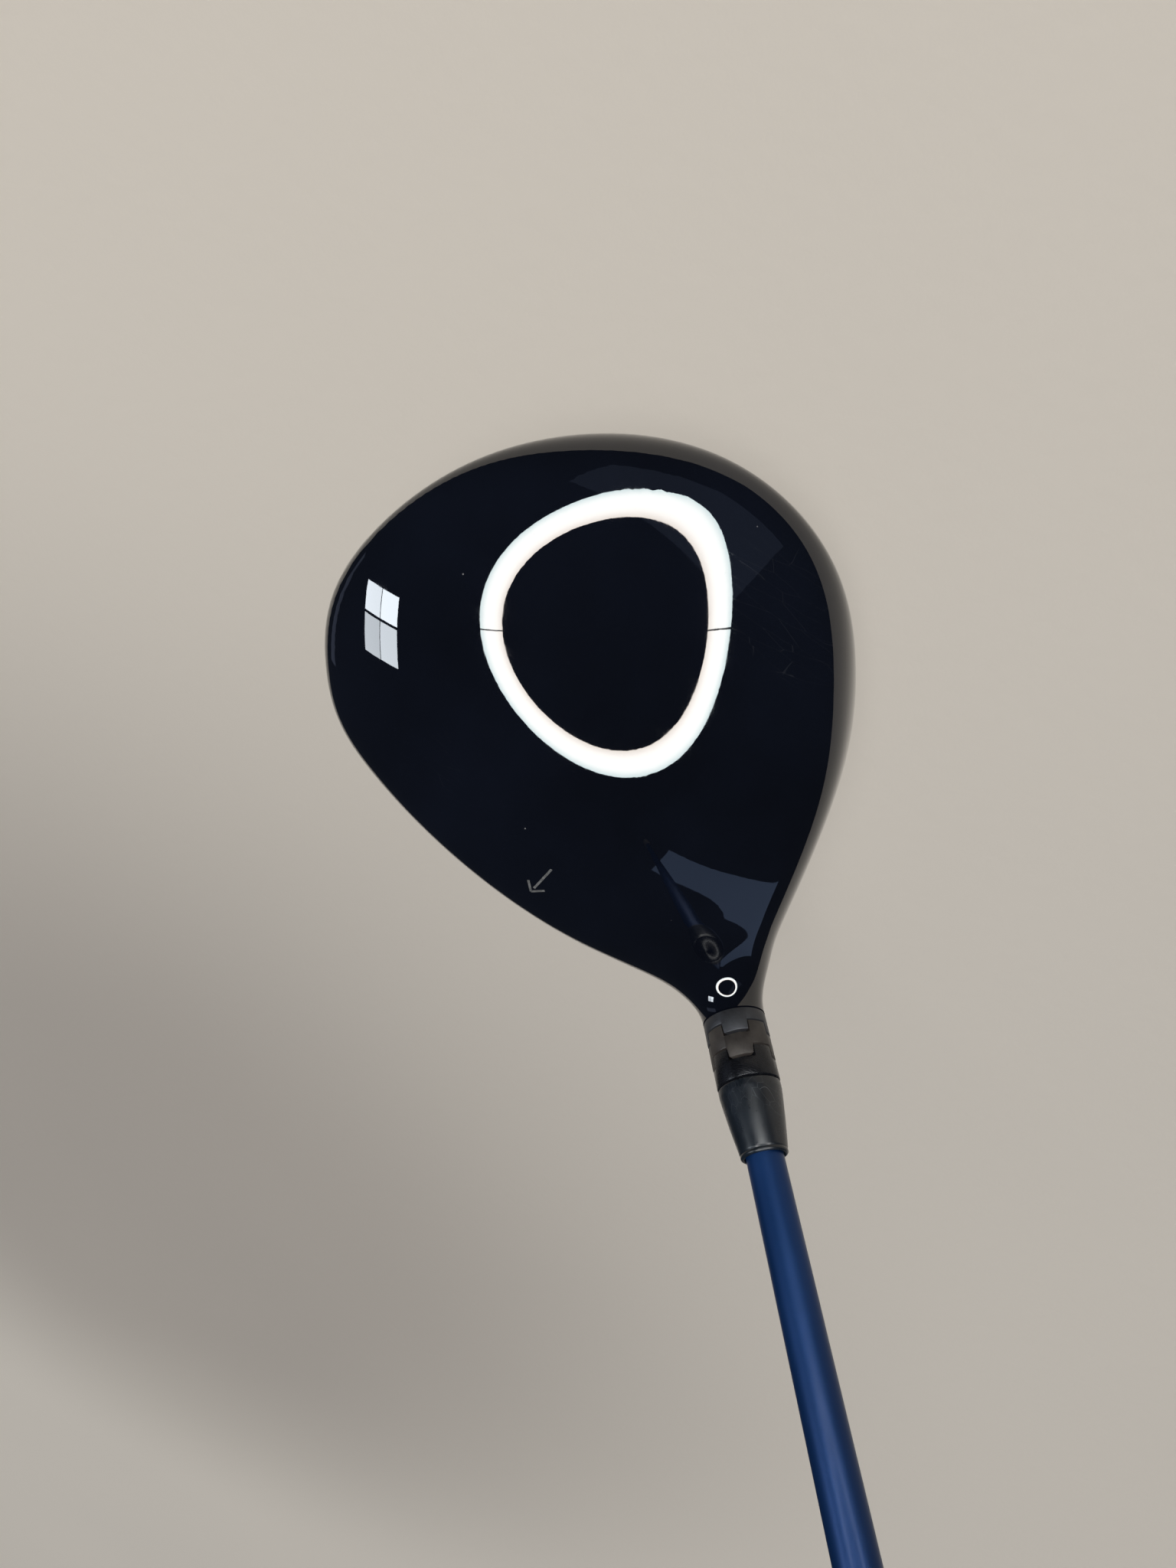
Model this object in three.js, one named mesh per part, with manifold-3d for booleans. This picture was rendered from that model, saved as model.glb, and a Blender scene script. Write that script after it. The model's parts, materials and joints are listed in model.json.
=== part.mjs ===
// Golf driver: a hollow head of about 440 cc, an adjustable hosel with an index ring and an
// adapter sleeve, a tapered graphite shaft and a rubber grip, in its address position.
// Millimetres, +Z up. The face looks along -Y, the heel and the grip are on the +X side.
// The origin is the point of the sole that rests on the ground.
import * as THREE from "three";
import { mergeVertices } from "three/addons/utils/BufferGeometryUtils.js";
import Module from "manifold-3d";

const wasm = await Module();
wasm.setup();

// ---------------------------------------------------------------- driving dimensions
const GAP = 0.3; // clearance between pieces that touch
const LIE = THREE.MathUtils.degToRad(58.5); // shaft angle to the ground
const LOFT = THREE.MathUtils.degToRad(10);

// Head surface. The crown and the sole are shallow bowls, the side wall follows the outline.
// The crown's drop below `top` is a polynomial in u = x - CROWN.x and v = y - CROWN.y.
const CROWN = { top: 64.2, x: -13, y: -30.2 };
const CROWN_DROP = [
  // [factor, power of u, power of v]
  [3.83e-3, 2, 0],
  [3.06e-3, 1, 1],
  [4.33e-3, 0, 2],
  [-4.3e-6, 3, 0],
  [-6.85e-5, 2, 1],
  [-9.4e-6, 1, 2],
  [6e-6, 0, 3],
  [3.07e-7, 4, 0],
  [8.69e-7, 2, 2],
  [-4.8e-8, 0, 4],
];
const SOLE = { bottom: -0.15, bendX: 0.0038, bendY: 0.0018, flareX: 0.8e-6, flareY: 0.3e-6 };
const OUTLINE_CENTRE = { x: -3, y: 2 };
// Every 30 degrees, from the heel, counter-clockwise seen from above.
const OUTLINE_RADII = [56.4, 52.4, 56.3, 67.1, 71.8, 75.6, 74, 60.6, 59, 58, 49, 59.4];
const EDGE_BLEND = 9.6; // width over which crown and side run into each other
const BOWL_BLEND = 8.6; // the same for the upper and the lower half
const FACE = { y: -36.4, z: 30, bulge: 305, roll: 305, blend: 9 };

// Shaft axis and the places along it, measured up the axis from the ground.
const AXIS = { x: 28.7, y: -23.7 };
const NECK = {
  top: 60,
  radius: 7.45,
  flareFrom: 60,
  flare: 0.12,
  flareEase: 12,
  spread: 0.97,
  blend: 28.2,
  foot: 25,
  footBlend: 8,
  fadeFrom: 47, // above this place the head's body draws back from the neck
  fade: 0.08,
};
const WALL = { crown: 1.2, face: 3.0 };

const SCREW_PORT = { radius: 5.6, from: -6, to: 27.3 };
const SCREW = {
  headRadius: 4.3,
  shankRadius: 2.5,
  from: 22,
  shoulder: 25.7,
  tip: 37.5,
  socket: 2.2,
  socketDepth: 2,
  headChamfer: 0.4,
  tipChamfer: 0.6,
};
const SCREW_WASHER = { inner: 2.9, outer: 4.8, from: 26, to: 27 };
const RETAINER = { inner: 2.8, outer: 3.6, from: 28.2, to: 30.6, holeRadius: 3.9 };
const HOSEL_BORE = { radius: 5.9, shelf: 31.7, tubeRadius: 7.6, tubeTo: 59.5 };

const TANG = { count: 4, height: 2.5, width: 46, phase: 45, cutReach: 12 }; // degrees round the hosel
const COLLAR = { radius: 7.42, to: 63.2 };
const INDEX_RING = { radius: 7.36, to: 69.1 };
const SLEEVE = {
  radius: 7.3,
  barrel: 5.6,
  from: 32,
  bore: 4.65,
  boreFrom: 38,
  threadHole: 2.8,
  to: 76.4,
};
const FERRULE = {
  radius: 7.2,
  straight: 1.8,
  mouth: 5.35,
  lip: 0.5,
  lipTurn: 0.75, // share of the lip that its rounding takes
  edge: 0.15,
  to: 92.8,
};
const SHAFT = { from: 38.4, to: 1149, middle: 620, tip: 4.23, tipTo: 98, taper: 0.0032, wall: 1.3 };
const TIP_PLUG = { radius: 2.5, from: 38.7, to: 46 };

const GRIP = {
  from: 884,
  to: 1150,
  mouth: 8.9,
  lip: 1.5,
  lipRound: 0.3,
  waist: 11.4,
  waistAt: 1085,
  swell: 0.55, // share of the step from waist to butt that is reached at swellAt
  swellAt: 1132,
  butt: 13.4,
  buttAt: 1146,
};
const GRIP_TAPE = { from: 890, to: 1146, thickness: 0.5 };
const GRIP_CAP = {
  radius: 13.5,
  foot: 0.6,
  footStep: 0.2,
  edge: 1.2,
  edgeRound: 0.35,
  to: 1154.5,
  vent: 1.5,
};

const REAR_WEIGHT = {
  x: -2,
  y: 47,
  flange: 7.8,
  flangeTop: 3.4,
  stem: 4.1,
  stemTop: 8.6,
  socket: 2.6,
  socketDepth: 2.2,
};
const WEIGHT_WASHER = { inner: 4.4, outer: 7.4, from: 3.7, to: 4.3 };
const WEIGHT_POCKET = {
  radius: 8.1,
  depth: 4.6,
  hole: 4.4,
  holeDepth: 9.6,
  boss: 11,
  bossDepth: 12,
  below: 3, // how far the boss and the pocket start outside the sole
};
const HOT_MELT = { x: -22, y: 2, radius: 13, from: -5, top: 7.5, clear: 0.4 };
const SOLE_RIB = { from: -44, to: 26, y: 18, thickness: 1.4, height: 11, sunk: 2 };
const REST_FLAT = { reach: 30, depth: 3 }; // the sole is ground flat where it dips below Z = 0

const SIDES = { round: 32, grip: 36, tape: 28, small: 24, plug: 20, socket: 6 }; // of turned pieces
const OVERRUN = 1; // how far a cutter runs past what it cuts
const HAIR = 0.02; // keeps a cutter's face off a face that it would lie on

// Places from which the head's surface points are cast.
const HEAD_GRID = {
  around: 40,
  cap: 6,
  middle: 10,
  fan: 8,
  toe: new THREE.Vector3(-30, 8, 36),
  heel: new THREE.Vector3(38, -8, 33),
  swing: 1.6, // how much sooner than the turn the centre reaches the shaft's plane
};

// ---------------------------------------------------------------- head surface
const smoothMax = (a, b, k) => {
  const h = Math.max(k - Math.abs(a - b), 0) / k;
  return Math.max(a, b) + (h * h * h * k) / 6;
};
const smoothMin = (a, b, k) => -smoothMax(-a, -b, k);

// Smooth closed curve through the outline radii (trigonometric interpolation).
function outlineRadius(angle) {
  const n = OUTLINE_RADII.length;
  let sum = 0;
  OUTLINE_RADII.forEach((radius, i) => {
    const half = (angle - (2 * Math.PI * i) / n) / 2;
    const s = Math.sin(half);
    const weight = Math.abs(s) < 1e-9 ? 1 : (Math.sin(n * half) * Math.cos(half)) / (n * s);
    sum += radius * weight;
  });
  return sum;
}

function crownField(x, y, z) {
  const u = x - CROWN.x;
  const v = y - CROWN.y;
  let height = CROWN.top;
  let slopeX = 0;
  let slopeY = 0;
  for (const [factor, m, n] of CROWN_DROP) {
    height -= factor * u ** m * v ** n;
    if (m > 0) slopeX += factor * m * u ** (m - 1) * v ** n;
    if (n > 0) slopeY += factor * n * u ** m * v ** (n - 1);
  }
  return (z - height) / Math.hypot(1, slopeX, slopeY);
}

function soleField(x, y, z) {
  const bowl = SOLE.bendX * x ** 2 + SOLE.bendY * y ** 2;
  const height = SOLE.bottom + bowl + SOLE.flareX * x ** 4 + SOLE.flareY * y ** 4;
  const slopeX = 2 * SOLE.bendX * x + 4 * SOLE.flareX * x ** 3;
  const slopeY = 2 * SOLE.bendY * y + 4 * SOLE.flareY * y ** 3;
  return (height - z) / Math.hypot(1, slopeX, slopeY);
}

function sideField(x, y) {
  const dx = x - OUTLINE_CENTRE.x;
  const dy = y - OUTLINE_CENTRE.y;
  return Math.hypot(dx, dy) - outlineRadius(Math.atan2(dy, dx));
}

function faceField(x, y, z) {
  const h = z - FACE.z;
  const surface = FACE.y + x ** 2 / (2 * FACE.bulge) + h ** 2 / (2 * FACE.roll) + h * Math.tan(LOFT);
  return (surface - y) * Math.cos(LOFT);
}

const alongShaft = (x, z) => (x - AXIS.x) * Math.cos(LIE) + z * Math.sin(LIE);

function neckField(x, y, z) {
  const dx = x - AXIS.x;
  const dy = y - AXIS.y;
  const along = alongShaft(x, z);
  const away = Math.sqrt(Math.max(dx * dx + dy * dy + z * z - along * along, 0));
  const below = Math.max(NECK.flareFrom - along, 0);
  const radius = NECK.radius + (NECK.flare * below * below) / (below + NECK.flareEase);
  return smoothMax((away - radius) * NECK.spread, NECK.foot - along, NECK.footBlend);
}

// Signed field of the whole head: negative inside, near enough to millimetres outside.
function headField(x, y, z) {
  const side = sideField(x, y);
  const upper = smoothMax(crownField(x, y, z), side, EDGE_BLEND);
  const lower = smoothMax(soleField(x, y, z), side, EDGE_BLEND);
  const bowl = smoothMax(upper, lower, BOWL_BLEND);
  const body = smoothMax(bowl, faceField(x, y, z), FACE.blend);
  const fade = NECK.fade * Math.max(alongShaft(x, z) - NECK.fadeFrom, 0) ** 2;
  return smoothMin(body + fade, neckField(x, y, z), NECK.blend);
}

function headNormal(p) {
  const e = 0.05;
  return new THREE.Vector3(
    headField(p.x + e, p.y, p.z) - headField(p.x - e, p.y, p.z),
    headField(p.x, p.y + e, p.z) - headField(p.x, p.y - e, p.z),
    headField(p.x, p.y, p.z + e) - headField(p.x, p.y, p.z - e),
  ).normalize();
}

const axisPoint = (along) =>
  new THREE.Vector3(AXIS.x + along * Math.cos(LIE), AXIS.y, along * Math.sin(LIE));

// Where a ray from inside the head leaves it.
function castOut(from, direction) {
  const at = (t) => headField(from.x + direction.x * t, from.y + direction.y * t, from.z + direction.z * t);
  let low = 0;
  let high = 1;
  while (at(high) < 0) {
    low = high;
    high += 1;
  }
  for (let i = 0; i < 30; i++) {
    const mid = (low + high) / 2;
    if (at(mid) < 0) low = mid;
    else high = mid;
  }
  return from.clone().addScaledVector(direction, high);
}

// Rings of points round the head: a cap at the toe, upright slices along the head,
// then slices that turn about the heel until they stand square to the neck.
function headRings() {
  const rings = [];
  const ring = (centre, out, up) => {
    const points = [];
    for (let j = 0; j < HEAD_GRID.around; j++) {
      const a = (2 * Math.PI * j) / HEAD_GRID.around;
      const spoke = up.clone().multiplyScalar(Math.sin(a));
      spoke.y += Math.cos(a);
      points.push(castOut(centre, out(spoke)));
    }
    rings.push(points);
  };
  const zUp = new THREE.Vector3(0, 0, 1);
  const { toe, heel } = HEAD_GRID;
  for (let i = 1; i <= HEAD_GRID.cap; i++) {
    const polar = (Math.PI / 2) * (i / HEAD_GRID.cap);
    const lean = new THREE.Vector3(-Math.cos(polar), 0, 0);
    ring(toe, (s) => s.multiplyScalar(Math.sin(polar)).add(lean).normalize(), zUp);
  }
  for (let i = 1; i <= HEAD_GRID.middle; i++) {
    ring(toe.clone().lerp(heel, i / HEAD_GRID.middle), (s) => s, zUp);
  }
  const neckEnd = axisPoint(NECK.top);
  const reach = (neckEnd.x - heel.x) / Math.sin(LIE);
  const pivot = new THREE.Vector3(heel.x, 0, neckEnd.z + reach * Math.cos(LIE));
  for (let i = 1; i <= HEAD_GRID.fan; i++) {
    const t = i / HEAD_GRID.fan;
    const turn = LIE * t;
    const up = new THREE.Vector3(-Math.sin(turn), 0, Math.cos(turn));
    const drop = THREE.MathUtils.lerp(pivot.z - heel.z, reach, t);
    const centre = pivot.clone().addScaledVector(up, -drop);
    centre.y = THREE.MathUtils.lerp(heel.y, AXIS.y, Math.min(1, HEAD_GRID.swing * t));
    ring(centre, (s) => s, up);
  }
  return { pole: castOut(toe, new THREE.Vector3(-1, 0, 0)), rings };
}

// Closed surface from a pole, rings of points, and a last point that closes the far end.
function skin(pole, rings, last) {
  const count = rings[0].length;
  const points = [pole, ...rings.flat(), last];
  const index = [];
  const at = (i, j) => 1 + i * count + (j % count);
  for (let j = 0; j < count; j++) {
    index.push(0, at(0, j + 1), at(0, j));
    for (let i = 0; i + 1 < rings.length; i++) {
      index.push(at(i, j), at(i, j + 1), at(i + 1, j + 1), at(i, j), at(i + 1, j + 1), at(i + 1, j));
    }
    index.push(at(rings.length - 1, j), at(rings.length - 1, j + 1), points.length - 1);
  }
  const geometry = new THREE.BufferGeometry();
  const numbers = points.flatMap((p) => p.toArray());
  geometry.setAttribute("position", new THREE.Float32BufferAttribute(numbers, 3));
  geometry.setIndex(index);
  return geometry;
}

// ---------------------------------------------------------------- joining and cutting
function toSolid(geometry) {
  const bare = geometry.index ? geometry.toNonIndexed() : geometry.clone();
  bare.deleteAttribute("normal");
  bare.deleteAttribute("uv");
  const merged = mergeVertices(bare, 1e-4);
  return new wasm.Manifold(
    new wasm.Mesh({
      numProp: 3,
      vertProperties: new Float32Array(merged.attributes.position.array),
      triVerts: new Uint32Array(merged.index.array),
    }),
  );
}

function toGeometry(solid) {
  const mesh = solid.getMesh();
  const geometry = new THREE.BufferGeometry();
  geometry.setAttribute("position", new THREE.BufferAttribute(mesh.vertProperties, 3));
  geometry.setIndex(new THREE.BufferAttribute(mesh.triVerts, 1));
  geometry.computeVertexNormals();
  return geometry;
}

// Solid of revolution about local Z, from [radius, height] corners in order.
function turned(corners, segments = 28) {
  const profile = [...corners, corners[0]].map(([r, h]) => new THREE.Vector2(r, h));
  return new THREE.LatheGeometry(profile, segments).rotateX(Math.PI / 2);
}
const disc = (radius, from, to, segments) =>
  turned([[0, from], [radius, from], [radius, to], [0, to]], segments);
const tube = (inner, outer, from, to, segments) =>
  turned([[inner, from], [outer, from], [outer, to], [inner, to]], segments);

// ---------------------------------------------------------------- frames
const hoselFrame = new THREE.Matrix4()
  .makeRotationY(Math.PI / 2 - LIE)
  .setPosition(AXIS.x, AXIS.y, 0);

function weightFrame() {
  const { x, y } = REAR_WEIGHT;
  const surface = castOut(new THREE.Vector3(x, y, 20), new THREE.Vector3(0, 0, -1));
  const inward = headNormal(surface).negate();
  const turn = new THREE.Quaternion().setFromUnitVectors(new THREE.Vector3(0, 0, 1), inward);
  return new THREE.Matrix4().compose(surface, turn, new THREE.Vector3(1, 1, 1));
}
const rearWeightFrame = weightFrame();
const placed = (geometry, frame) => toSolid(geometry.clone().applyMatrix4(frame));

// ---------------------------------------------------------------- head solids
const { pole, rings } = headRings();
const outerHead = toSolid(skin(pole, rings, axisPoint(NECK.top)));

// The inside of the wall: the same points moved in along the surface normal.
function cavity(extra = 0) {
  const faceNormal = new THREE.Vector3(0, -Math.cos(LOFT), Math.sin(LOFT));
  const moveIn = (p) => {
    const n = headNormal(p);
    const onFace = THREE.MathUtils.smoothstep(n.dot(faceNormal), 0.9, 0.98);
    const wall = THREE.MathUtils.lerp(WALL.crown, WALL.face, onFace) + extra;
    return p.clone().addScaledVector(n, -wall);
  };
  const inner = rings.slice(0, -2).map((points) => points.map(moveIn));
  const last = inner[inner.length - 1];
  const centre = last.reduce((sum, p) => sum.add(p), new THREE.Vector3()).divideScalar(last.length);
  return toSolid(skin(moveIn(pole), inner, centre));
}
const insideHead = cavity();
const shell = outerHead.subtract(insideHead);

// Crown panel, in plan: it ends where the crown has turned down to the skirt,
// behind the top line of the face, and round the foot of the neck.
const CROWN_PANEL = {
  centre: [-10, 15],
  skirtTurn: 0.6, // the panel ends where the surface normal's Z falls to this
  skirtScale: 20,
  frontLine: -20.4,
  neckClear: 24,
  corner: 8,
  bottom: 34.5,
  above: 10, // how far above the crown's top the cutter reaches
  castFrom: 34, // height inside the head from which the crown is looked up at
  inset: 3, // least distance from the side wall at that height
  points: 44,
  farthest: 90,
};

function crownPanelOutline(grow) {
  const [cx, cy] = CROWN_PANEL.centre;
  const neck = axisPoint(NECK.top - 1);
  const outline = [];
  for (let i = 0; i < CROWN_PANEL.points; i++) {
    const a = (2 * Math.PI * i) / CROWN_PANEL.points;
    const outside = (r) => {
      const x = cx + r * Math.cos(a);
      const y = cy + r * Math.sin(a);
      if (headField(x, y, CROWN_PANEL.castFrom) > -CROWN_PANEL.inset) return true;
      const top = castOut(new THREE.Vector3(x, y, CROWN_PANEL.castFrom), new THREE.Vector3(0, 0, 1));
      const skirt = (CROWN_PANEL.skirtTurn - headNormal(top).z) * CROWN_PANEL.skirtScale;
      const front = CROWN_PANEL.frontLine + x ** 2 / (2 * FACE.bulge) - y;
      const heel = CROWN_PANEL.neckClear - Math.hypot(x - neck.x, y - neck.y);
      return smoothMax(smoothMax(skirt, front, CROWN_PANEL.corner), heel, CROWN_PANEL.corner) > 0;
    };
    let low = 0;
    let high = CROWN_PANEL.farthest;
    for (let r = 2; r < CROWN_PANEL.farthest; r += 1) {
      if (outside(r)) {
        high = r;
        low = r - 1;
        break;
      }
    }
    for (let k = 0; k < 14; k++) {
      const mid = (low + high) / 2;
      if (outside(mid)) high = mid;
      else low = mid;
    }
    const r = high + grow;
    outline.push(new THREE.Vector2(cx + r * Math.cos(a), cy + r * Math.sin(a)));
  }
  return outline;
}

function prism(outline, from, to) {
  const shape = new THREE.Shape(outline);
  const block = new THREE.ExtrudeGeometry(shape, { depth: to - from, bevelEnabled: false });
  return block.translate(0, 0, from);
}
const crownCutter = (grow) =>
  toSolid(prism(crownPanelOutline(grow), CROWN_PANEL.bottom - grow, CROWN.top + CROWN_PANEL.above));

// Face plate: a rounded oval, a little higher at the toe, cut square to the face.
const FACE_PLATE = {
  x: -4,
  z: 30.5,
  halfWidth: 45,
  halfHeight: 19.5,
  squareness: 2.5,
  tilt: 5,
  reach: 9,
  points: 36,
};

function faceCutter(grow) {
  const power = 2 / FACE_PLATE.squareness;
  const outline = [];
  for (let i = 0; i < FACE_PLATE.points; i++) {
    const a = (2 * Math.PI * i) / FACE_PLATE.points;
    const round = (v) => Math.sign(v) * Math.abs(v) ** power;
    outline.push(
      new THREE.Vector2(
        (FACE_PLATE.halfWidth + grow) * round(Math.cos(a)),
        (FACE_PLATE.halfHeight + grow) * round(Math.sin(a)),
      ),
    );
  }
  const block = prism(outline, -FACE_PLATE.reach, FACE_PLATE.reach);
  block.rotateZ(-THREE.MathUtils.degToRad(FACE_PLATE.tilt));
  block.rotateX(Math.PI / 2 - LOFT);
  block.translate(FACE_PLATE.x, FACE.y, FACE_PLATE.z);
  return toSolid(block);
}

function headBody() {
  const hoselTube = placed(disc(HOSEL_BORE.tubeRadius, 0, HOSEL_BORE.tubeTo, SIDES.round), hoselFrame);
  const { boss, bossDepth, below, radius, depth, hole, holeDepth } = WEIGHT_POCKET;
  const weightBoss = placed(disc(boss, -below, bossDepth, SIDES.round), rearWeightFrame);
  const ribLength = SOLE_RIB.to - SOLE_RIB.from;
  const rib = new THREE.BoxGeometry(ribLength, SOLE_RIB.thickness, SOLE_RIB.height + SOLE_RIB.sunk);
  rib.translate((SOLE_RIB.to + SOLE_RIB.from) / 2, SOLE_RIB.y, (SOLE_RIB.height - SOLE_RIB.sunk) / 2);
  const inside = outerHead.intersect(hoselTube.add(weightBoss).add(toSolid(rib)));
  const bores = [
    placed(disc(HOSEL_BORE.radius, HOSEL_BORE.shelf, NECK.top + OVERRUN, SIDES.round), hoselFrame),
    placed(
      disc(RETAINER.holeRadius, SCREW_PORT.to - OVERRUN, HOSEL_BORE.shelf + OVERRUN, SIDES.small),
      hoselFrame,
    ),
    placed(disc(SCREW_PORT.radius, SCREW_PORT.from, SCREW_PORT.to, SIDES.round), hoselFrame),
    placed(disc(radius, -below, depth, SIDES.round), rearWeightFrame),
    placed(disc(hole, depth - OVERRUN, holeDepth, SIDES.small), rearWeightFrame),
  ];
  const ground = toSolid(disc(REST_FLAT.reach, -REST_FLAT.depth, 0, SIDES.small));
  const frame = shell.subtract(crownCutter(GAP)).subtract(faceCutter(GAP)).add(inside);
  return bores.reduce((solid, bore) => solid.subtract(bore), frame).subtract(ground);
}

// Soft adhesive pooled on the inside of the sole.
function hotMeltPad() {
  const { x, y, radius, from, top, clear } = HOT_MELT;
  return cavity(clear).intersect(toSolid(disc(radius, from, top, SIDES.small).translate(x, y, 0)));
}

// ---------------------------------------------------------------- hosel pieces
// Blocks between two heights that stand at the tang positions round the hosel.
function tangBlocks(from, to, widen) {
  const corner = (angle) =>
    new THREE.Vector2(TANG.cutReach * Math.cos(angle), TANG.cutReach * Math.sin(angle));
  const blocks = [];
  for (let i = 0; i < TANG.count; i++) {
    const middle = THREE.MathUtils.degToRad(TANG.phase + (360 / TANG.count) * i);
    const half = THREE.MathUtils.degToRad(TANG.width / 2) + widen;
    const wedge = new THREE.Shape([
      new THREE.Vector2(0, 0),
      corner(middle - half),
      corner(middle),
      corner(middle + half),
    ]);
    const block = new THREE.ExtrudeGeometry(wedge, { depth: to - from, bevelEnabled: false });
    blocks.push(toSolid(block.translate(0, 0, from)));
  }
  return blocks.reduce((all, block) => all.add(block));
}
const TANG_SLACK = GAP / INDEX_RING.radius; // radians of play at each side of a tang

function ringWithTangs(inner, outer, from, to) {
  const tangs = tangBlocks(to - OVERRUN, to + TANG.height, 0);
  const sheath = toSolid(tube(inner, outer, from, to + TANG.height, SIDES.round));
  const band = toSolid(tube(inner, outer, from, to, SIDES.round));
  return sheath.intersect(tangs).add(band);
}

function hoselCollar() {
  return ringWithTangs(HOSEL_BORE.radius, COLLAR.radius, NECK.top + GAP, COLLAR.to);
}

function adapterSleeve() {
  const outside = toSolid(
    turned(
      [
        [0, SLEEVE.from],
        [SLEEVE.barrel, SLEEVE.from],
        [SLEEVE.barrel, INDEX_RING.to + GAP],
        [SLEEVE.radius, INDEX_RING.to + GAP],
        [SLEEVE.radius, SLEEVE.to],
        [0, SLEEVE.to],
      ],
      SIDES.round,
    ),
  );
  const notches = tangBlocks(INDEX_RING.to - HAIR, INDEX_RING.to + TANG.height + GAP, TANG_SLACK);
  const barrel = toSolid(disc(SLEEVE.barrel + HAIR, SLEEVE.from, SLEEVE.to, SIDES.round));
  const bore = toSolid(disc(SLEEVE.bore, SLEEVE.boreFrom, SLEEVE.to + OVERRUN, SIDES.round));
  const thread = toSolid(
    disc(SLEEVE.threadHole, SLEEVE.from - OVERRUN, SLEEVE.boreFrom + OVERRUN, SIDES.small),
  );
  return outside.subtract(notches.subtract(barrel)).subtract(bore).subtract(thread);
}

function indexRing() {
  const ring = ringWithTangs(HOSEL_BORE.radius, INDEX_RING.radius, COLLAR.to + GAP, INDEX_RING.to);
  return ring.subtract(tangBlocks(COLLAR.to, COLLAR.to + TANG.height + GAP, TANG_SLACK));
}

function ferrule() {
  const { radius, straight, mouth, lip, lipTurn, edge, to } = FERRULE;
  const from = SLEEVE.to + GAP;
  const bore = SLEEVE.bore;
  return turned(
    [
      [bore, from],
      [radius - edge, from],
      [radius, from + edge],
      [radius, from + straight],
      [mouth, to - lip],
      [mouth - edge, to - edge],
      [mouth - lipTurn * lip, to],
      [bore, to],
    ],
    SIDES.round,
  );
}

// A screw with a hexagonal socket, along local Z; its head's outer face is at `from`.
function socketScrew(size) {
  const { headRadius, from, shoulder, shankRadius, tip, headChamfer, tipChamfer } = size;
  const body = toSolid(
    turned(
      [
        [0, from],
        [headRadius - headChamfer, from],
        [headRadius, from + headChamfer],
        [headRadius, shoulder],
        [shankRadius, shoulder],
        [shankRadius, tip - tipChamfer],
        [shankRadius - tipChamfer, tip],
        [0, tip],
      ],
      SIDES.round,
    ),
  );
  const socket = disc(size.socket, from - OVERRUN, from + size.socketDepth, SIDES.socket);
  return body.subtract(toSolid(socket));
}

// ---------------------------------------------------------------- shaft and grip
const shaftRadius = (along) => SHAFT.tip + SHAFT.taper * Math.max(along - SHAFT.tipTo, 0);

function shaft() {
  const { from, to, middle, tipTo, wall } = SHAFT;
  const stations = [from, tipTo, middle, to];
  const outside = stations.map((s) => [shaftRadius(s), s]);
  const inside = stations.map((s) => [shaftRadius(s) - wall, s]).reverse();
  return turned([...outside, ...inside], SIDES.round);
}

function gripTape() {
  const { from, to, thickness } = GRIP_TAPE;
  const inner = (s) => shaftRadius(s) + GAP;
  return turned(
    [
      [inner(from), from],
      [inner(from) + thickness, from],
      [inner(to) + thickness, to],
      [inner(to), to],
    ],
    SIDES.tape,
  );
}

function grip() {
  const { from, to, mouth, lip, lipRound, waist, waistAt, swell, swellAt, butt, buttAt } = GRIP;
  const inner = (s) => shaftRadius(s) + 2 * GAP + GRIP_TAPE.thickness;
  return turned(
    [
      [inner(from), from],
      [mouth - lipRound, from],
      [mouth, from + lip],
      [(mouth + waist) / 2, (from + waistAt) / 2],
      [waist, waistAt],
      [waist + swell * (butt - waist), swellAt],
      [butt, buttAt],
      [butt, to],
      [inner(to), to],
    ],
    SIDES.grip,
  );
}

function gripCap() {
  const { radius, foot, footStep, edge, edgeRound, to, vent } = GRIP_CAP;
  const from = GRIP.to + GAP;
  return turned(
    [
      [vent, from],
      [radius - footStep, from],
      [radius, from + foot],
      [radius, to - edge],
      [radius - edgeRound * edge, to - edgeRound * edge],
      [radius - edge, to],
      [vent, to],
    ],
    SIDES.grip,
  );
}

// ---------------------------------------------------------------- the model
const finish = {
  crownPaint: { color: 0x05070c, roughness: 0.06, metalness: 0.1 },
  bodyPaint: { color: 0x07090e, roughness: 0.12, metalness: 0.15 },
  face: { color: 0x6c6f73, roughness: 0.38, metalness: 0.9 },
  collar: { color: 0x34363c, roughness: 0.45, metalness: 0.6 },
  ring: { color: 0x2a2726, roughness: 0.5, metalness: 0.3 },
  sleeve: { color: 0x0b0c10, roughness: 0.25, metalness: 0.6 },
  ferrule: { color: 0x0a0f17, roughness: 0.2, metalness: 0 },
  shaft: { color: 0x0b2a66, roughness: 0.15, metalness: 0.5 },
  plug: { color: 0xd8d2c4, roughness: 0.7, metalness: 0 },
  grip: { color: 0x151516, roughness: 0.85, metalness: 0 },
  tape: { color: 0xe8e4d8, roughness: 0.8, metalness: 0 },
  cap: { color: 0x111112, roughness: 0.7, metalness: 0 },
  steel: { color: 0x9a9da1, roughness: 0.35, metalness: 1 },
  titanium: { color: 0x77736d, roughness: 0.35, metalness: 1 },
  aluminium: { color: 0xb9bcc0, roughness: 0.3, metalness: 1 },
  nylon: { color: 0xe6e6e0, roughness: 0.6, metalness: 0 },
  hotMelt: { color: 0xd9c78c, roughness: 0.55, metalness: 0 },
};

const driver = new THREE.Group();
const hosel = new THREE.Group(); // local Z runs up the shaft
hosel.applyMatrix4(hoselFrame);
const weightPort = new THREE.Group(); // local Z runs into the sole
weightPort.applyMatrix4(rearWeightFrame);
driver.add(hosel, weightPort);

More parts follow.
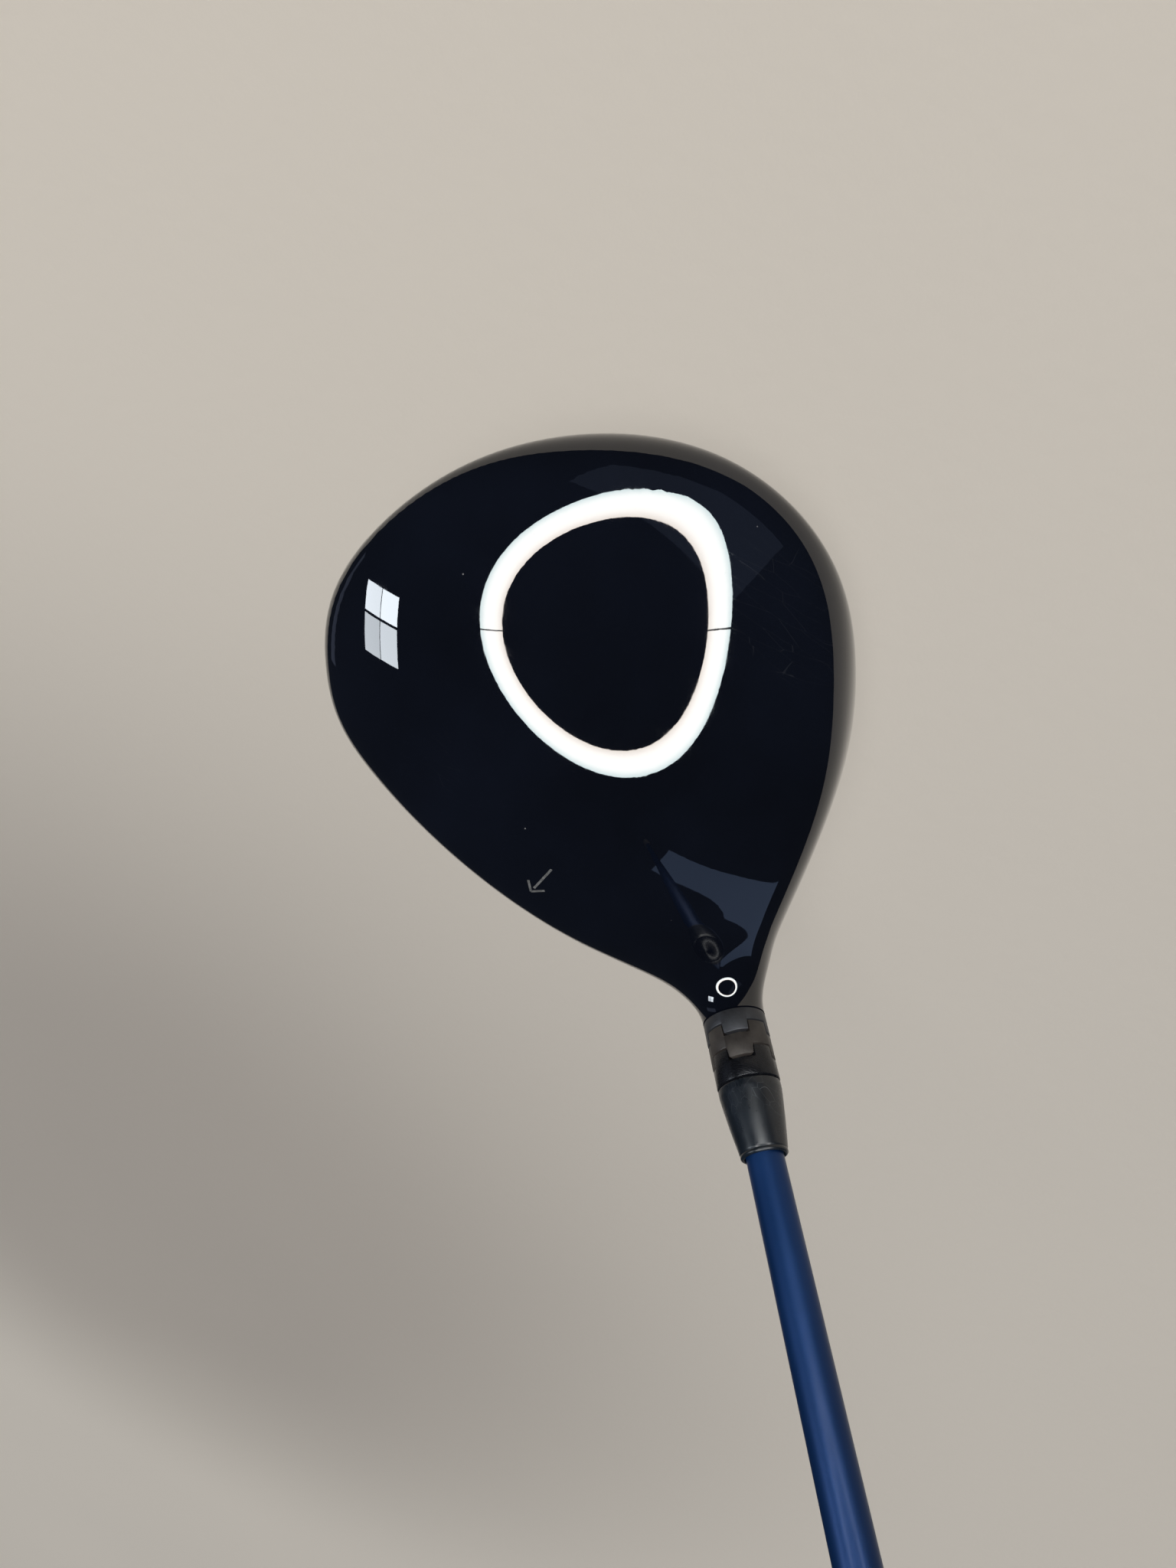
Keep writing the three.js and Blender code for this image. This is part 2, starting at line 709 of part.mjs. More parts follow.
function add(parent, name, shape, look) {
  const geometry = shape.isBufferGeometry ? shape : toGeometry(shape);
  const mesh = new THREE.Mesh(geometry, new THREE.MeshStandardMaterial(look));
  mesh.name = name;
  parent.add(mesh);
}

// Head
add(driver, "head_body", headBody(), finish.bodyPaint);
add(driver, "crown_shell", shell.intersect(crownCutter(0)), finish.crownPaint);
add(driver, "face_plate", shell.intersect(faceCutter(0)), finish.face);
add(
  driver,
  "hot_melt_pad",
  hotMeltPad(),
  finish.hotMelt,
);
add(hosel, "hosel_collar", hoselCollar(), finish.collar);

// Screw that holds the sleeve, from under the heel
add(hosel, "hosel_screw", socketScrew(SCREW), finish.titanium);
add(
  hosel,
  "hosel_screw_washer",
  tube(SCREW_WASHER.inner, SCREW_WASHER.outer, SCREW_WASHER.from, SCREW_WASHER.to, SIDES.round),
  finish.aluminium,
);
add(
  hosel,
  "screw_retainer",
  tube(RETAINER.inner, RETAINER.outer, RETAINER.from, RETAINER.to, SIDES.small),
  finish.nylon,
);

// Rear weight and its washer
add(
  weightPort,
  "rear_weight",
  socketScrew({
    headRadius: REAR_WEIGHT.flange,
    from: GAP,
    shoulder: REAR_WEIGHT.flangeTop,
    shankRadius: REAR_WEIGHT.stem,
    tip: REAR_WEIGHT.stemTop,
    socket: REAR_WEIGHT.socket,
    socketDepth: REAR_WEIGHT.socketDepth,
    headChamfer: SCREW.headChamfer,
    tipChamfer: SCREW.tipChamfer,
  }),
  finish.steel,
);
add(
  weightPort,
  "rear_weight_washer",
  tube(WEIGHT_WASHER.inner, WEIGHT_WASHER.outer, WEIGHT_WASHER.from, WEIGHT_WASHER.to, SIDES.round),
  finish.nylon,
);

// Shaft assembly
add(hosel, "index_ring", indexRing(), finish.ring);
add(hosel, "adapter_sleeve", adapterSleeve(), finish.sleeve);
add(hosel, "ferrule", ferrule(), finish.ferrule);
add(hosel, "shaft", shaft(), finish.shaft);
add(
  hosel,
  "shaft_tip_plug",
  disc(TIP_PLUG.radius, TIP_PLUG.from, TIP_PLUG.to, SIDES.plug),
  finish.plug,
);
add(hosel, "grip_tape", gripTape(), finish.tape);
add(hosel, "grip", grip(), finish.grip);
add(hosel, "grip_cap", gripCap(), finish.cap);

export default driver;
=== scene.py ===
"""A golf driver: the looks of its gloss black head, adjustable hosel, blue shaft and rubber grip."""
import json
import math

import bmesh
import bpy
import numpy as np
from mathutils import Matrix, Vector


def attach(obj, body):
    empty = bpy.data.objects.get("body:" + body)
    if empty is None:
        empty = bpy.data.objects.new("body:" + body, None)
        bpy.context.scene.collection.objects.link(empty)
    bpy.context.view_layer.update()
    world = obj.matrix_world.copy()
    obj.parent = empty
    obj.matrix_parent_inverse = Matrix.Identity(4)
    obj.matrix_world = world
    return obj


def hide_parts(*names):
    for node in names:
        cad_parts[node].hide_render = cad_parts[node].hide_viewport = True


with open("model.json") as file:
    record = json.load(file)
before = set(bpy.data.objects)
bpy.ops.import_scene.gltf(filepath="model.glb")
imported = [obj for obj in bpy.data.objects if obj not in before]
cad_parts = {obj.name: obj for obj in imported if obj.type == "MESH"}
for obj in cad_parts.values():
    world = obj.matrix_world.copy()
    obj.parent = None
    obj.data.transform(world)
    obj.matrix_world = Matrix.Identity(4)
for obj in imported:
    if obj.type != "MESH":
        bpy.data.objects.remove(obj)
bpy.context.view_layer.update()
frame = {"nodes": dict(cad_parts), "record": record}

MM = 0.001

# ---------------------------------------------------------------- the frame's axes
joints = {j["name"]: j for j in frame["record"]["behaviour"]["joints"]}
screw_joint = joints["hosel_screw_turn"]
weight_joint = joints["rear_weight_turn"]
UP_SHAFT = -np.array(screw_joint["axis"], float)
UP_SHAFT /= np.linalg.norm(UP_SHAFT)
SCREW_POINT = np.array(screw_joint["pos_m"], float)
FOOT = SCREW_POINT - UP_SHAFT * SCREW_POINT[2] / UP_SHAFT[2]  # where the shaft axis meets the ground
LIE = math.asin(UP_SHAFT[2])
WEIGHT_IN = -np.array(weight_joint["axis"], float)
WEIGHT_IN /= np.linalg.norm(WEIGHT_IN)
WEIGHT_POINT = np.array(weight_joint["pos_m"], float)


def along_and_away(node, origin, axis):
    """Place of each vertex of a CAD node along an axis, and its distance from the axis."""
    points = np.array([v.co for v in frame["nodes"][node].data.vertices], float) - origin
    along = points @ axis
    return along, np.linalg.norm(points - along[:, None] * axis, axis=1)


def span(node, origin=FOOT, axis=UP_SHAFT):
    """Lowest and highest place of a CAD node along an axis."""
    along = along_and_away(node, origin, axis)[0]
    return along.min(), along.max()


def reach(node, low=-math.inf, high=math.inf, origin=FOOT, axis=UP_SHAFT):
    """Largest distance of a CAD node from an axis, between two places along it."""
    along, away = along_and_away(node, origin, axis)
    return away[(along > low) & (along < high)].max()


def bore(node):
    """Smallest distance of a CAD node from the shaft axis."""
    return along_and_away(node, FOOT, UP_SHAFT)[1].min()


def axis_frame(origin, axis):
    """Matrix whose Z runs along the axis and whose Y is the world's Y as nearly as it can be."""
    z = Vector(axis).normalized()
    x = Vector((0, 1, 0)).cross(z).normalized()
    y = z.cross(x)
    return Matrix.Translation(Vector(origin)) @ Matrix((x, y, z)).transposed().to_4x4()


HOSEL = axis_frame(FOOT, UP_SHAFT)
WEIGHT = axis_frame(WEIGHT_POINT, WEIGHT_IN)

# ---------------------------------------------------------------- camera
CAMERA_AT = Vector((-0.0258, 0.1410, 0.2224))
LOOKS_ALONG = Vector((0.0964, -0.6207, -0.7781))
RIGHT = Vector((0.7744, 0.5379, -0.3332))
LENS = 23.38
SENSOR = 36.0


def make_camera():
    data = bpy.data.cameras.new("camera")
    data.lens = LENS
    data.sensor_width = SENSOR
    data.sensor_fit = "AUTO"
    data.clip_start = 0.01
    camera = bpy.data.objects.new("camera", data)
    back = -LOOKS_ALONG.normalized()
    up = back.cross(RIGHT).normalized()
    right = up.cross(back)
    turn = Matrix((right, up, back)).transposed().to_4x4()
    camera.matrix_world = Matrix.Translation(CAMERA_AT) @ turn
    bpy.context.scene.collection.objects.link(camera)
    bpy.context.scene.camera = camera
    return camera


camera = make_camera()


# ---------------------------------------------------------------- materials
class Nodes:
    """Short names for building a material's nodes."""

    def __init__(self, name, **shader):
        self.material = bpy.data.materials.new(name)
        self.material.use_nodes = True
        self.tree = self.material.node_tree
        self.tree.nodes.clear()
        self.out = self.tree.nodes.new("ShaderNodeOutputMaterial")
        self.shader = self.tree.nodes.new("ShaderNodeBsdfPrincipled")
        self.link(self.shader.outputs[0], self.out.inputs[0])
        for key, value in shader.items():
            self.set(self.shader, key.replace("_", " "), value)
        self.place = self.node("ShaderNodeTexCoord").outputs["Object"]

    def node(self, kind, inputs=None, **settings):
        made = self.tree.nodes.new(kind)
        for key, value in settings.items():
            setattr(made, key, value)
        for key, value in (inputs or {}).items():
            self.set(made, key, value)
        return made

    def set(self, node, key, value):
        socket = node.inputs[key]
        if isinstance(value, bpy.types.NodeSocket):
            self.link(value, socket)
        elif isinstance(value, (tuple, list)) and len(value) == 3 and socket.type == "RGBA":
            socket.default_value = (*value, 1)
        else:
            socket.default_value = value

    def link(self, a, b):
        self.tree.links.new(a, b)

    def maths(self, operation, a, b=0.5):
        return self.node("ShaderNodeMath", {0: a, 1: b}, operation=operation).outputs[0]

    def noise(self, scale, detail=2.0, roughness=0.5, stretch=None, distortion=0.0):
        vector = self.place
        if stretch:
            vector = self.node("ShaderNodeMapping", {"Vector": vector, "Scale": stretch}).outputs[0]
        inputs = {"Vector": vector, "Scale": scale, "Detail": detail, "Roughness": roughness}
        return self.node("ShaderNodeTexNoise", {**inputs, "Distortion": distortion}).outputs["Fac"]

    def ramp(self, value, low, high, out_low=0.0, out_high=1.0, smooth=False):
        made = self.node(
            "ShaderNodeMapRange",
            {"Value": value, "From Min": low, "From Max": high, "To Min": out_low, "To Max": out_high},
            interpolation_type="SMOOTHSTEP" if smooth else "LINEAR",
        )
        return made.outputs[0]

    def mix(self, share, a, b):
        made = self.node("ShaderNodeMix", data_type="RGBA")
        self.set(made, "Factor", share)
        for socket, value in ((6, a), (7, b)):
            self.set(made, socket, value)
        return made.outputs[2]

    def over(self, base, mask, share, colour):
        """The base with a colour laid over it where the mask is 1, at a share of full strength."""
        return self.mix(self.maths("MULTIPLY", mask, share), base, colour)

    def specks(self, scale, size, rarity):
        """Small round spots: 1 inside a spot, 0 elsewhere. Rarity is the share of cells left empty."""
        cells = self.node("ShaderNodeTexVoronoi", {"Vector": self.place, "Scale": scale})
        inside = self.ramp(cells.outputs["Distance"], size, size * 0.6)
        split = self.node("ShaderNodeSeparateColor", {"Color": cells.outputs["Color"]})
        chosen = self.maths("GREATER_THAN", split.outputs[0], rarity)
        return self.maths("MULTIPLY", inside, chosen)

    def vector(self, operation, *inputs, **named):
        return self.node("ShaderNodeVectorMath", {**dict(enumerate(inputs)), **named}, operation=operation)

    def scratches(self, scale, stretch, turn, width, rarity):
        """Short fine lines that run one way."""
        mapped = self.node("ShaderNodeMapping", {"Vector": self.place, "Rotation": turn, "Scale": stretch})
        bend = self.node("ShaderNodeTexNoise", {"Vector": self.place, "Scale": 60.0})
        shifted = self.vector("SCALE", bend.outputs["Color"], Scale=0.012)
        moved = self.vector("ADD", mapped.outputs[0], shifted.outputs[0])
        cells = self.node(
            "ShaderNodeTexVoronoi", {"Vector": moved.outputs[0], "Scale": scale}, feature="DISTANCE_TO_EDGE"
        )
        near = self.ramp(cells.outputs["Distance"], width, 0.0)
        where = self.ramp(self.noise(scale * 0.35), rarity, rarity + 0.06)
        return self.maths("MULTIPLY", near, where)

    def finish(self, colour, roughness, height=None, depth=0.0):
        """Sets the colour, the roughness and a bump of the given depth, and hands over the material."""
        self.set(self.shader, "Base Color", colour)
        self.set(self.shader, "Roughness", roughness)
        if height is not None:
            bump = self.node("ShaderNodeBump", {"Height": height, "Distance": depth, "Strength": 1.0})
            self.link(bump.outputs[0], self.shader.inputs["Normal"])
        return self.material


def gloss_paint(name, deep, glow, roughness):
    """Near-black paint with fine metallic flakes under clear coat, dust and hairline scratches."""
    n = Nodes(name, Metallic=0.0, IOR=1.5, Coat_Weight=0.6, Coat_Roughness=0.012, Coat_IOR=1.5)
    base = n.mix(n.ramp(n.noise(28.0, 3.0), 0.35, 0.7), deep, glow)
    base = n.over(base, n.specks(5200.0, 0.22, 0.93), 0.35, (0.03, 0.045, 0.09))
    base = n.over(base, n.specks(330.0, 0.075, 0.94), 0.5, (0.32, 0.33, 0.35))
    lines = n.scratches(70.0, (1.0, 7.0, 1.0), (0.3, 0.2, 0.9), 0.006, 0.62)
    base = n.over(base, lines, 0.10, (0.12, 0.13, 0.15))
    smear = n.noise(45.0, 4.0, 0.6, stretch=(1.0, 2.2, 1.0), distortion=0.6)
    rough = n.ramp(smear, 0.45, 0.8, roughness, roughness + 0.045)
    rough = n.maths("ADD", rough, n.maths("MULTIPLY", lines, 0.08))
    return n.finish(base, rough, n.noise(380.0), 0.0000035)


def worn_metal(name, base, worn, roughness, metallic=0.6, grain=(1.0, 1.0, 12.0), wear_from=0.58):
    """Anodised or blasted metal with rubbed, lighter places and fine tool marks."""
    n = Nodes(name, Metallic=metallic, IOR=1.5)
    rubbed = n.ramp(n.noise(260.0, 4.0, 0.65), wear_from, wear_from + 0.16)
    marks = n.noise(900.0, 3.0, 0.6, stretch=grain)
    shade = n.mix(n.ramp(marks, 0.3, 0.75), base, tuple(c * 1.7 for c in base))
    rough = n.ramp(marks, 0.25, 0.75, roughness - 0.07, roughness + 0.12)
    return n.finish(n.over(shade, rubbed, 0.6, worn), rough, marks, 0.000012)


def turned_metal(name, base, roughness, origin, axis):
    """Bare metal with the fine circles a lathe leaves round an axis."""
    n = Nodes(name, Metallic=1.0)
    from_axis = n.vector("SUBTRACT", n.place, tuple(origin))
    crossed = n.vector("CROSS_PRODUCT", from_axis.outputs[0], tuple(axis))
    radius = n.vector("LENGTH", crossed.outputs[0]).outputs["Value"]
    rings = n.maths("SINE", n.maths("MULTIPLY", radius, 26000.0))
    uneven = n.noise(500.0, 3.0)
    rings = n.maths("MULTIPLY", rings, n.ramp(uneven, 0.3, 0.7))
    tone = n.mix(n.ramp(uneven, 0.3, 0.75), tuple(c * 0.8 for c in base), base)
    rough = n.ramp(uneven, 0.3, 0.7, roughness - 0.06, roughness + 0.1)
    return n.finish(tone, rough, rings, 0.000006)


def face_metal():
    """Brushed titanium: lines across the face, darker patches and a few pale ball marks."""
    n = Nodes("face_titanium", Metallic=1.0)
    brushed = n.noise(420.0, 5.0, 0.7, stretch=(0.05, 1.0, 1.6))
    tone = n.mix(n.ramp(brushed, 0.3, 0.72), (0.14, 0.142, 0.15), (0.31, 0.31, 0.32))
    tone = n.mix(n.ramp(n.noise(55.0, 3.0), 0.45, 0.75, 0.0, 0.3), tone, (0.12, 0.12, 0.125))
    tone = n.over(tone, n.specks(210.0, 0.11, 0.9), 0.3, (0.6, 0.6, 0.6))
    return n.finish(tone, n.ramp(brushed, 0.3, 0.75, 0.27, 0.45), brushed, 0.000014)


def ring_plastic():
    """Dark brown-grey moulded ring with paler rubbed places."""
    n = Nodes("ring_polymer", Metallic=0.0, IOR=1.46)
    patches = n.noise(210.0, 4.0, 0.6)
    tone = n.mix(n.ramp(patches, 0.4, 0.72), (0.024, 0.021, 0.020), (0.062, 0.056, 0.052))
    lines = n.scratches(240.0, (1.0, 5.0, 1.0), (0.2, 0.9, 0.4), 0.012, 0.58)
    tone = n.over(tone, lines, 0.5, (0.2, 0.19, 0.18))
    return n.finish(tone, n.ramp(patches, 0.3, 0.75, 0.36, 0.54), n.noise(2100.0), 0.000008)


def gloss_plastic(name, deep, light, roughness):
    """Turned and polished plastic with handling scratches and a few pale nicks."""
    n = Nodes(name, Metallic=0.0, IOR=1.5, Coat_Weight=0.15, Coat_Roughness=0.16)
    tone = n.mix(n.ramp(n.noise(160.0, 3.0), 0.35, 0.7), deep, light)
    across = n.scratches(150.0, (1.0, 6.0, 3.0), (0.3, 0.5, 0.1), 0.008, 0.56)
    tone = n.over(tone, across, 0.55, (0.17, 0.19, 0.21))
    tone = n.over(tone, n.specks(420.0, 0.09, 0.93), 0.5, (0.4, 0.41, 0.42))
    smear = n.noise(380.0, 4.0, 0.6, stretch=(1.0, 1.0, 0.3))
    rough = n.ramp(smear, 0.35, 0.75, roughness, roughness + 0.12)
    return n.finish(tone, n.maths("ADD", rough, n.maths("MULTIPLY", across, 0.2)), smear, 0.000008)


def shaft_lacquer():
    """Metallic royal blue under clear lacquer, over faintly showing wound graphite."""
    n = Nodes("shaft_lacquer", Metallic=0.5, IOR=1.4, Coat_Weight=0.12, Coat_Roughness=0.2, Coat_IOR=1.4)
    cloud = n.noise(35.0, 3.0, stretch=(1.0, 1.0, 0.2))
    tone = n.mix(n.ramp(cloud, 0.3, 0.7), (0.0030, 0.026, 0.105), (0.0040, 0.036, 0.145))
    tone = n.over(tone, n.specks(6500.0, 0.28, 0.82), 0.3, (0.02, 0.08, 0.24))
    tone = n.over(tone, n.specks(380.0, 0.07, 0.95), 0.4, (0.4, 0.42, 0.46))
    return n.finish(tone, n.ramp(n.noise(90.0, 3.0), 0.3, 0.7, 0.36, 0.46), n.noise(700.0), 0.000004)


def rubber(name, base, grain_scale, roughness):
    """Matt rubber with a fine moulded grain and slightly shiny handled places."""
    n = Nodes(name, Metallic=0.0, IOR=1.45, Sheen_Weight=0.12, Sheen_Roughness=0.5)
    handled = n.noise(38.0, 3.0)
    tone = n.mix(n.ramp(handled, 0.35, 0.75), base, tuple(c * 1.8 for c in base))
    tone = n.over(tone, n.specks(520.0, 0.06, 0.95), 0.35, (0.3, 0.3, 0.29))
    rough = n.ramp(handled, 0.35, 0.75, roughness, roughness - 0.16)
    return n.finish(tone, rough, n.noise(grain_scale, 3.0, 0.6), 0.00003)


def moulded(name, dark, light, scale, roughness, **shader):
    """Plain material for small inner pieces: two close tones, fine bump."""
    n = Nodes(name, Metallic=0.0, **shader)
    cloud = n.noise(scale, 4.0, 0.6)
    rough = n.ramp(cloud, 0.3, 0.7, roughness - 0.08, roughness + 0.1)
    return n.finish(n.mix(n.ramp(cloud, 0.3, 0.72), dark, light), rough, cloud, 0.00002)


def mark_paint():
    """Thin grey print of the alignment mark."""
    n = Nodes("mark_paint", Metallic=0.35, IOR=1.45)
    cloud = n.noise(900.0, 3.0)
    tone = n.mix(n.ramp(cloud, 0.35, 0.7), (0.10, 0.105, 0.11), (0.17, 0.175, 0.18))
    return n.finish(tone, n.ramp(cloud, 0.3, 0.7, 0.3, 0.45))


PAINT = ((0.0022, 0.0030, 0.0060), (0.0034, 0.0048, 0.0100), 0.012)
EVEN_GRAIN = (1.0, 1.0, 1.0)
look = {
    "crown": gloss_paint("crown_paint", *PAINT),
    "body": gloss_paint("body_paint", *PAINT),
    "sole": worn_metal(
        "sole_satin", (0.020, 0.021, 0.024), (0.09, 0.09, 0.095), 0.36, 0.5, (1.0, 9.0, 1.0), 0.66
    ),
    "face": face_metal(),
    "collar": worn_metal("collar_metal", (0.040, 0.043, 0.050), (0.12, 0.12, 0.13), 0.42),
    "ring": ring_plastic(),
    "sleeve": worn_metal(
        "sleeve_anodised", (0.007, 0.008, 0.011), (0.07, 0.07, 0.075), 0.24, 0.4, (1.0, 1.0, 9.0), 0.64
    ),
    "ferrule": gloss_plastic("ferrule_plastic", (0.0045, 0.0075, 0.0125), (0.0085, 0.0135, 0.021), 0.26),
    "shaft": shaft_lacquer(),
    "grip": rubber("grip_rubber", (0.014, 0.014, 0.015), 1500.0, 0.86),
    "cap": rubber("cap_rubber", (0.011, 0.011, 0.012), 1100.0, 0.74),
    "steel": turned_metal("weight_steel", (0.42, 0.42, 0.43), 0.30, WEIGHT_POINT, WEIGHT_IN),
    "titanium": turned_metal("titanium_bolt", (0.36, 0.34, 0.31), 0.34, SCREW_POINT, UP_SHAFT),
    "aluminium": turned_metal("bare_aluminium", (0.66, 0.67, 0.69), 0.28, SCREW_POINT, UP_SHAFT),
    "nylon": moulded("white_nylon", (0.52, 0.52, 0.48), (0.66, 0.66, 0.62), 700.0, 0.5),
    "hot_melt": moulded(
        "hot_melt", (0.36, 0.27, 0.11), (0.55, 0.44, 0.22), 160.0, 0.5, Subsurface_Weight=0.2
    ),
    "plug": moulded("plug_plastic", (0.50, 0.48, 0.42), (0.62, 0.60, 0.54), 900.0, 0.6),
    "tape": moulded("tape_paper", (0.60, 0.56, 0.46), (0.74, 0.71, 0.62), 1300.0, 0.8),
    "mark": mark_paint(),
    # Pale top chamfers of the hosel rings: partly real rubbed wear, partly a painted highlight along the
    # bevel.
    "edge": worn_metal("rubbed_edge_and_painted_highlight", (0.045, 0.042, 0.04), (0.42, 0.40, 0.38), 0.4, 0.4, EVEN_GRAIN, 0.5),
}

# ---------------------------------------------------------------- head surface, in millimetres
# The same surface as the CAD head: crown and sole bowls, a side wall, the face and the neck.
CROWN = {"top": 64.2, "x": -13.0, "y": -30.2}
CROWN_DROP = [  # factor, power of u, power of v
    (3.83e-3, 2, 0),
    (3.06e-3, 1, 1),
    (4.33e-3, 0, 2),
    (-4.3e-6, 3, 0),
    (-6.85e-5, 2, 1),
    (-9.4e-6, 1, 2),
    (6e-6, 0, 3),
    (3.07e-7, 4, 0),
    (8.69e-7, 2, 2),
    (-4.8e-8, 0, 4),
]
SOLE = {"bottom": -0.15, "bend_x": 0.0038, "bend_y": 0.0018, "flare_x": 0.8e-6, "flare_y": 0.3e-6}
OUTLINE_CENTRE = (-3.0, 2.0)
OUTLINE_RADII = [56.4, 52.4, 56.3, 67.1, 71.8, 75.6, 74.0, 60.6, 59.0, 58.0, 49.0, 59.4]
EDGE_BLEND = 9.6
BOWL_BLEND = 8.6
LOFT = math.radians(10)
FACE = {"y": -36.4, "z": 30.0, "bulge": 305.0, "roll": 305.0, "blend": 9.0}
NECK = {
    "radius": 7.45,
    "flare_from": 60.0,
    "flare": 0.12,
    "flare_ease": 12.0,
    "spread": 0.97,
    "blend": 28.2,
    "foot": 25.0,
    "foot_blend": 8.0,
    "fade_from": 47.0,
    "fade": 0.08,
}
AXIS_X, AXIS_Y = FOOT[0] / MM, FOOT[1] / MM
NECK_TOP = span("head_body")[1] / MM


def smooth_max(a, b, k):
    h = np.maximum(k - np.abs(a - b), 0) / k
    return np.maximum(a, b) + h**3 * k / 6


def smooth_min(a, b, k):
    return -smooth_max(-a, -b, k)


def outline_radius(angle):
    """Smooth closed curve through the outline radii (trigonometric interpolation)."""
    n = len(OUTLINE_RADII)
    waves = np.fft.rfft(OUTLINE_RADII) / n
    total = np.full(np.shape(angle), waves[0].real)
    for k in range(1, len(waves)):
        twice = 1 if 2 * k == n else 2
        total = total + twice * (waves[k].real * np.cos(k * angle) - waves[k].imag * np.sin(k * angle))
    return total


def crown_field(x, y, z):
    u, v = x - CROWN["x"], y - CROWN["y"]
    height, slope_x, slope_y = CROWN["top"], 0.0, 0.0
    for factor, m, n in CROWN_DROP:
        height = height - factor * u**m * v**n
        if m:
            slope_x = slope_x + factor * m * u ** (m - 1) * v**n
        if n:
            slope_y = slope_y + factor * n * u**m * v ** (n - 1)
    return (z - height) / np.sqrt(1 + slope_x**2 + slope_y**2)


def sole_field(x, y, z):
    height = SOLE["bottom"] + SOLE["bend_x"] * x**2 + SOLE["bend_y"] * y**2
    height = height + SOLE["flare_x"] * x**4 + SOLE["flare_y"] * y**4
    slope_x = 2 * SOLE["bend_x"] * x + 4 * SOLE["flare_x"] * x**3
    slope_y = 2 * SOLE["bend_y"] * y + 4 * SOLE["flare_y"] * y**3
    return (height - z) / np.sqrt(1 + slope_x**2 + slope_y**2)


def face_height(x, z):
    """Y of the face surface."""
    h = z - FACE["z"]
    return FACE["y"] + x**2 / (2 * FACE["bulge"]) + h**2 / (2 * FACE["roll"]) + h * math.tan(LOFT)


def neck_field(x, y, z):
    dx, dy = x - AXIS_X, y - AXIS_Y
    along = dx * math.cos(LIE) + z * math.sin(LIE)
    away = np.sqrt(np.maximum(dx**2 + dy**2 + z**2 - along**2, 0))
    below = np.maximum(NECK["flare_from"] - along, 0)
    radius = NECK["radius"] + NECK["flare"] * below**2 / (below + NECK["flare_ease"])
    return smooth_max((away - radius) * NECK["spread"], NECK["foot"] - along, NECK["foot_blend"])


def head_field(p):
    x, y, z = p[..., 0], p[..., 1], p[..., 2]
    dx, dy = x - OUTLINE_CENTRE[0], y - OUTLINE_CENTRE[1]
    side = np.sqrt(dx**2 + dy**2) - outline_radius(np.arctan2(dy, dx))
    upper = smooth_max(crown_field(x, y, z), side, EDGE_BLEND)
    lower = smooth_max(sole_field(x, y, z), side, EDGE_BLEND)
    bowl = smooth_max(upper, lower, BOWL_BLEND)
    body = smooth_max(bowl, (face_height(x, z) - y) * math.cos(LOFT), FACE["blend"])
    along = (x - AXIS_X) * math.cos(LIE) + z * math.sin(LIE)
    fade = NECK["fade"] * np.maximum(along - NECK["fade_from"], 0) ** 2
    return smooth_min(body + fade, neck_field(x, y, z), NECK["blend"])


def head_normal(p):
    step = 0.03 * np.eye(3)
    slope = np.stack([head_field(p + e) - head_field(p - e) for e in step], axis=-1)
    return slope / np.linalg.norm(slope, axis=-1, keepdims=True)


def cast_out(start, direction):
    """Where rays from inside the head leave it."""
    low = np.zeros(direction.shape[:-1])
    high = low + 1.0
    for _ in range(110):
        inside = head_field(start + direction * high[..., None]) < 0
        if not inside.any():
            break
        low = np.where(inside, high, low)
        high = np.where(inside, high + 1.0, high)
    for _ in range(24):
        middle = (low + high) / 2
        inside = head_field(start + direction * middle[..., None]) < 0
        low = np.where(inside, middle, low)
        high = np.where(inside, high, middle)
    return start + direction * high[..., None]


TOE_CENTRE = np.array((-30.0, 8.0, 36.0))
HEEL_CENTRE = np.array((38.0, -8.0, 33.0))
SWING = 1.6


def head_rings(around, cap, middle, fan):
    """Rings of points: a cap at the toe, upright slices, then slices that turn square to the neck."""
    spoke_angle = 2 * np.pi * np.arange(around) / around
    sine, cosine = np.sin(spoke_angle), np.cos(spoke_angle)

    def ring(centre, up, lean=0.0, spread=1.0):
        spokes = sine[:, None] * up + cosine[:, None] * np.array((0.0, 1.0, 0.0))
        return cast_out(centre, spokes * spread + lean)

    rings = []
    upright = np.array((0.0, 0.0, 1.0))
    for i in range(1, cap + 1):
        polar = math.pi / 2 * i / cap
        rings.append(ring(TOE_CENTRE, upright, np.array((-math.cos(polar), 0, 0)), math.sin(polar)))
    for i in range(1, middle + 1):
        t = i / middle
        rings.append(ring(TOE_CENTRE * (1 - t) + HEEL_CENTRE * t, upright))
    end_x = AXIS_X + NECK_TOP * math.cos(LIE)
    end_z = NECK_TOP * math.sin(LIE)
    short = (end_x - HEEL_CENTRE[0]) / math.sin(LIE)
    pivot = np.array((HEEL_CENTRE[0], 0, end_z + short * math.cos(LIE)))
    for i in range(1, fan + 1):
        t = i / fan
        up = np.array((-math.sin(LIE * t), 0.0, math.cos(LIE * t)))
        drop = (pivot[2] - HEEL_CENTRE[2]) * (1 - t) + short * t
        centre = pivot - up * drop
        centre[1] = HEEL_CENTRE[1] + (AXIS_Y - HEEL_CENTRE[1]) * min(1.0, SWING * t)
        rings.append(ring(centre, up))
    pole = cast_out(TOE_CENTRE, np.array((-1.0, 0.0, 0.0)))
    return pole, rings


# ---------------------------------------------------------------- meshes and solids
def mesh_from(name, points, faces):
    mesh = bpy.data.meshes.new(name)
    mesh.from_pydata([tuple(p) for p in points], [], [tuple(f) for f in faces])
    mesh.update()
    return mesh


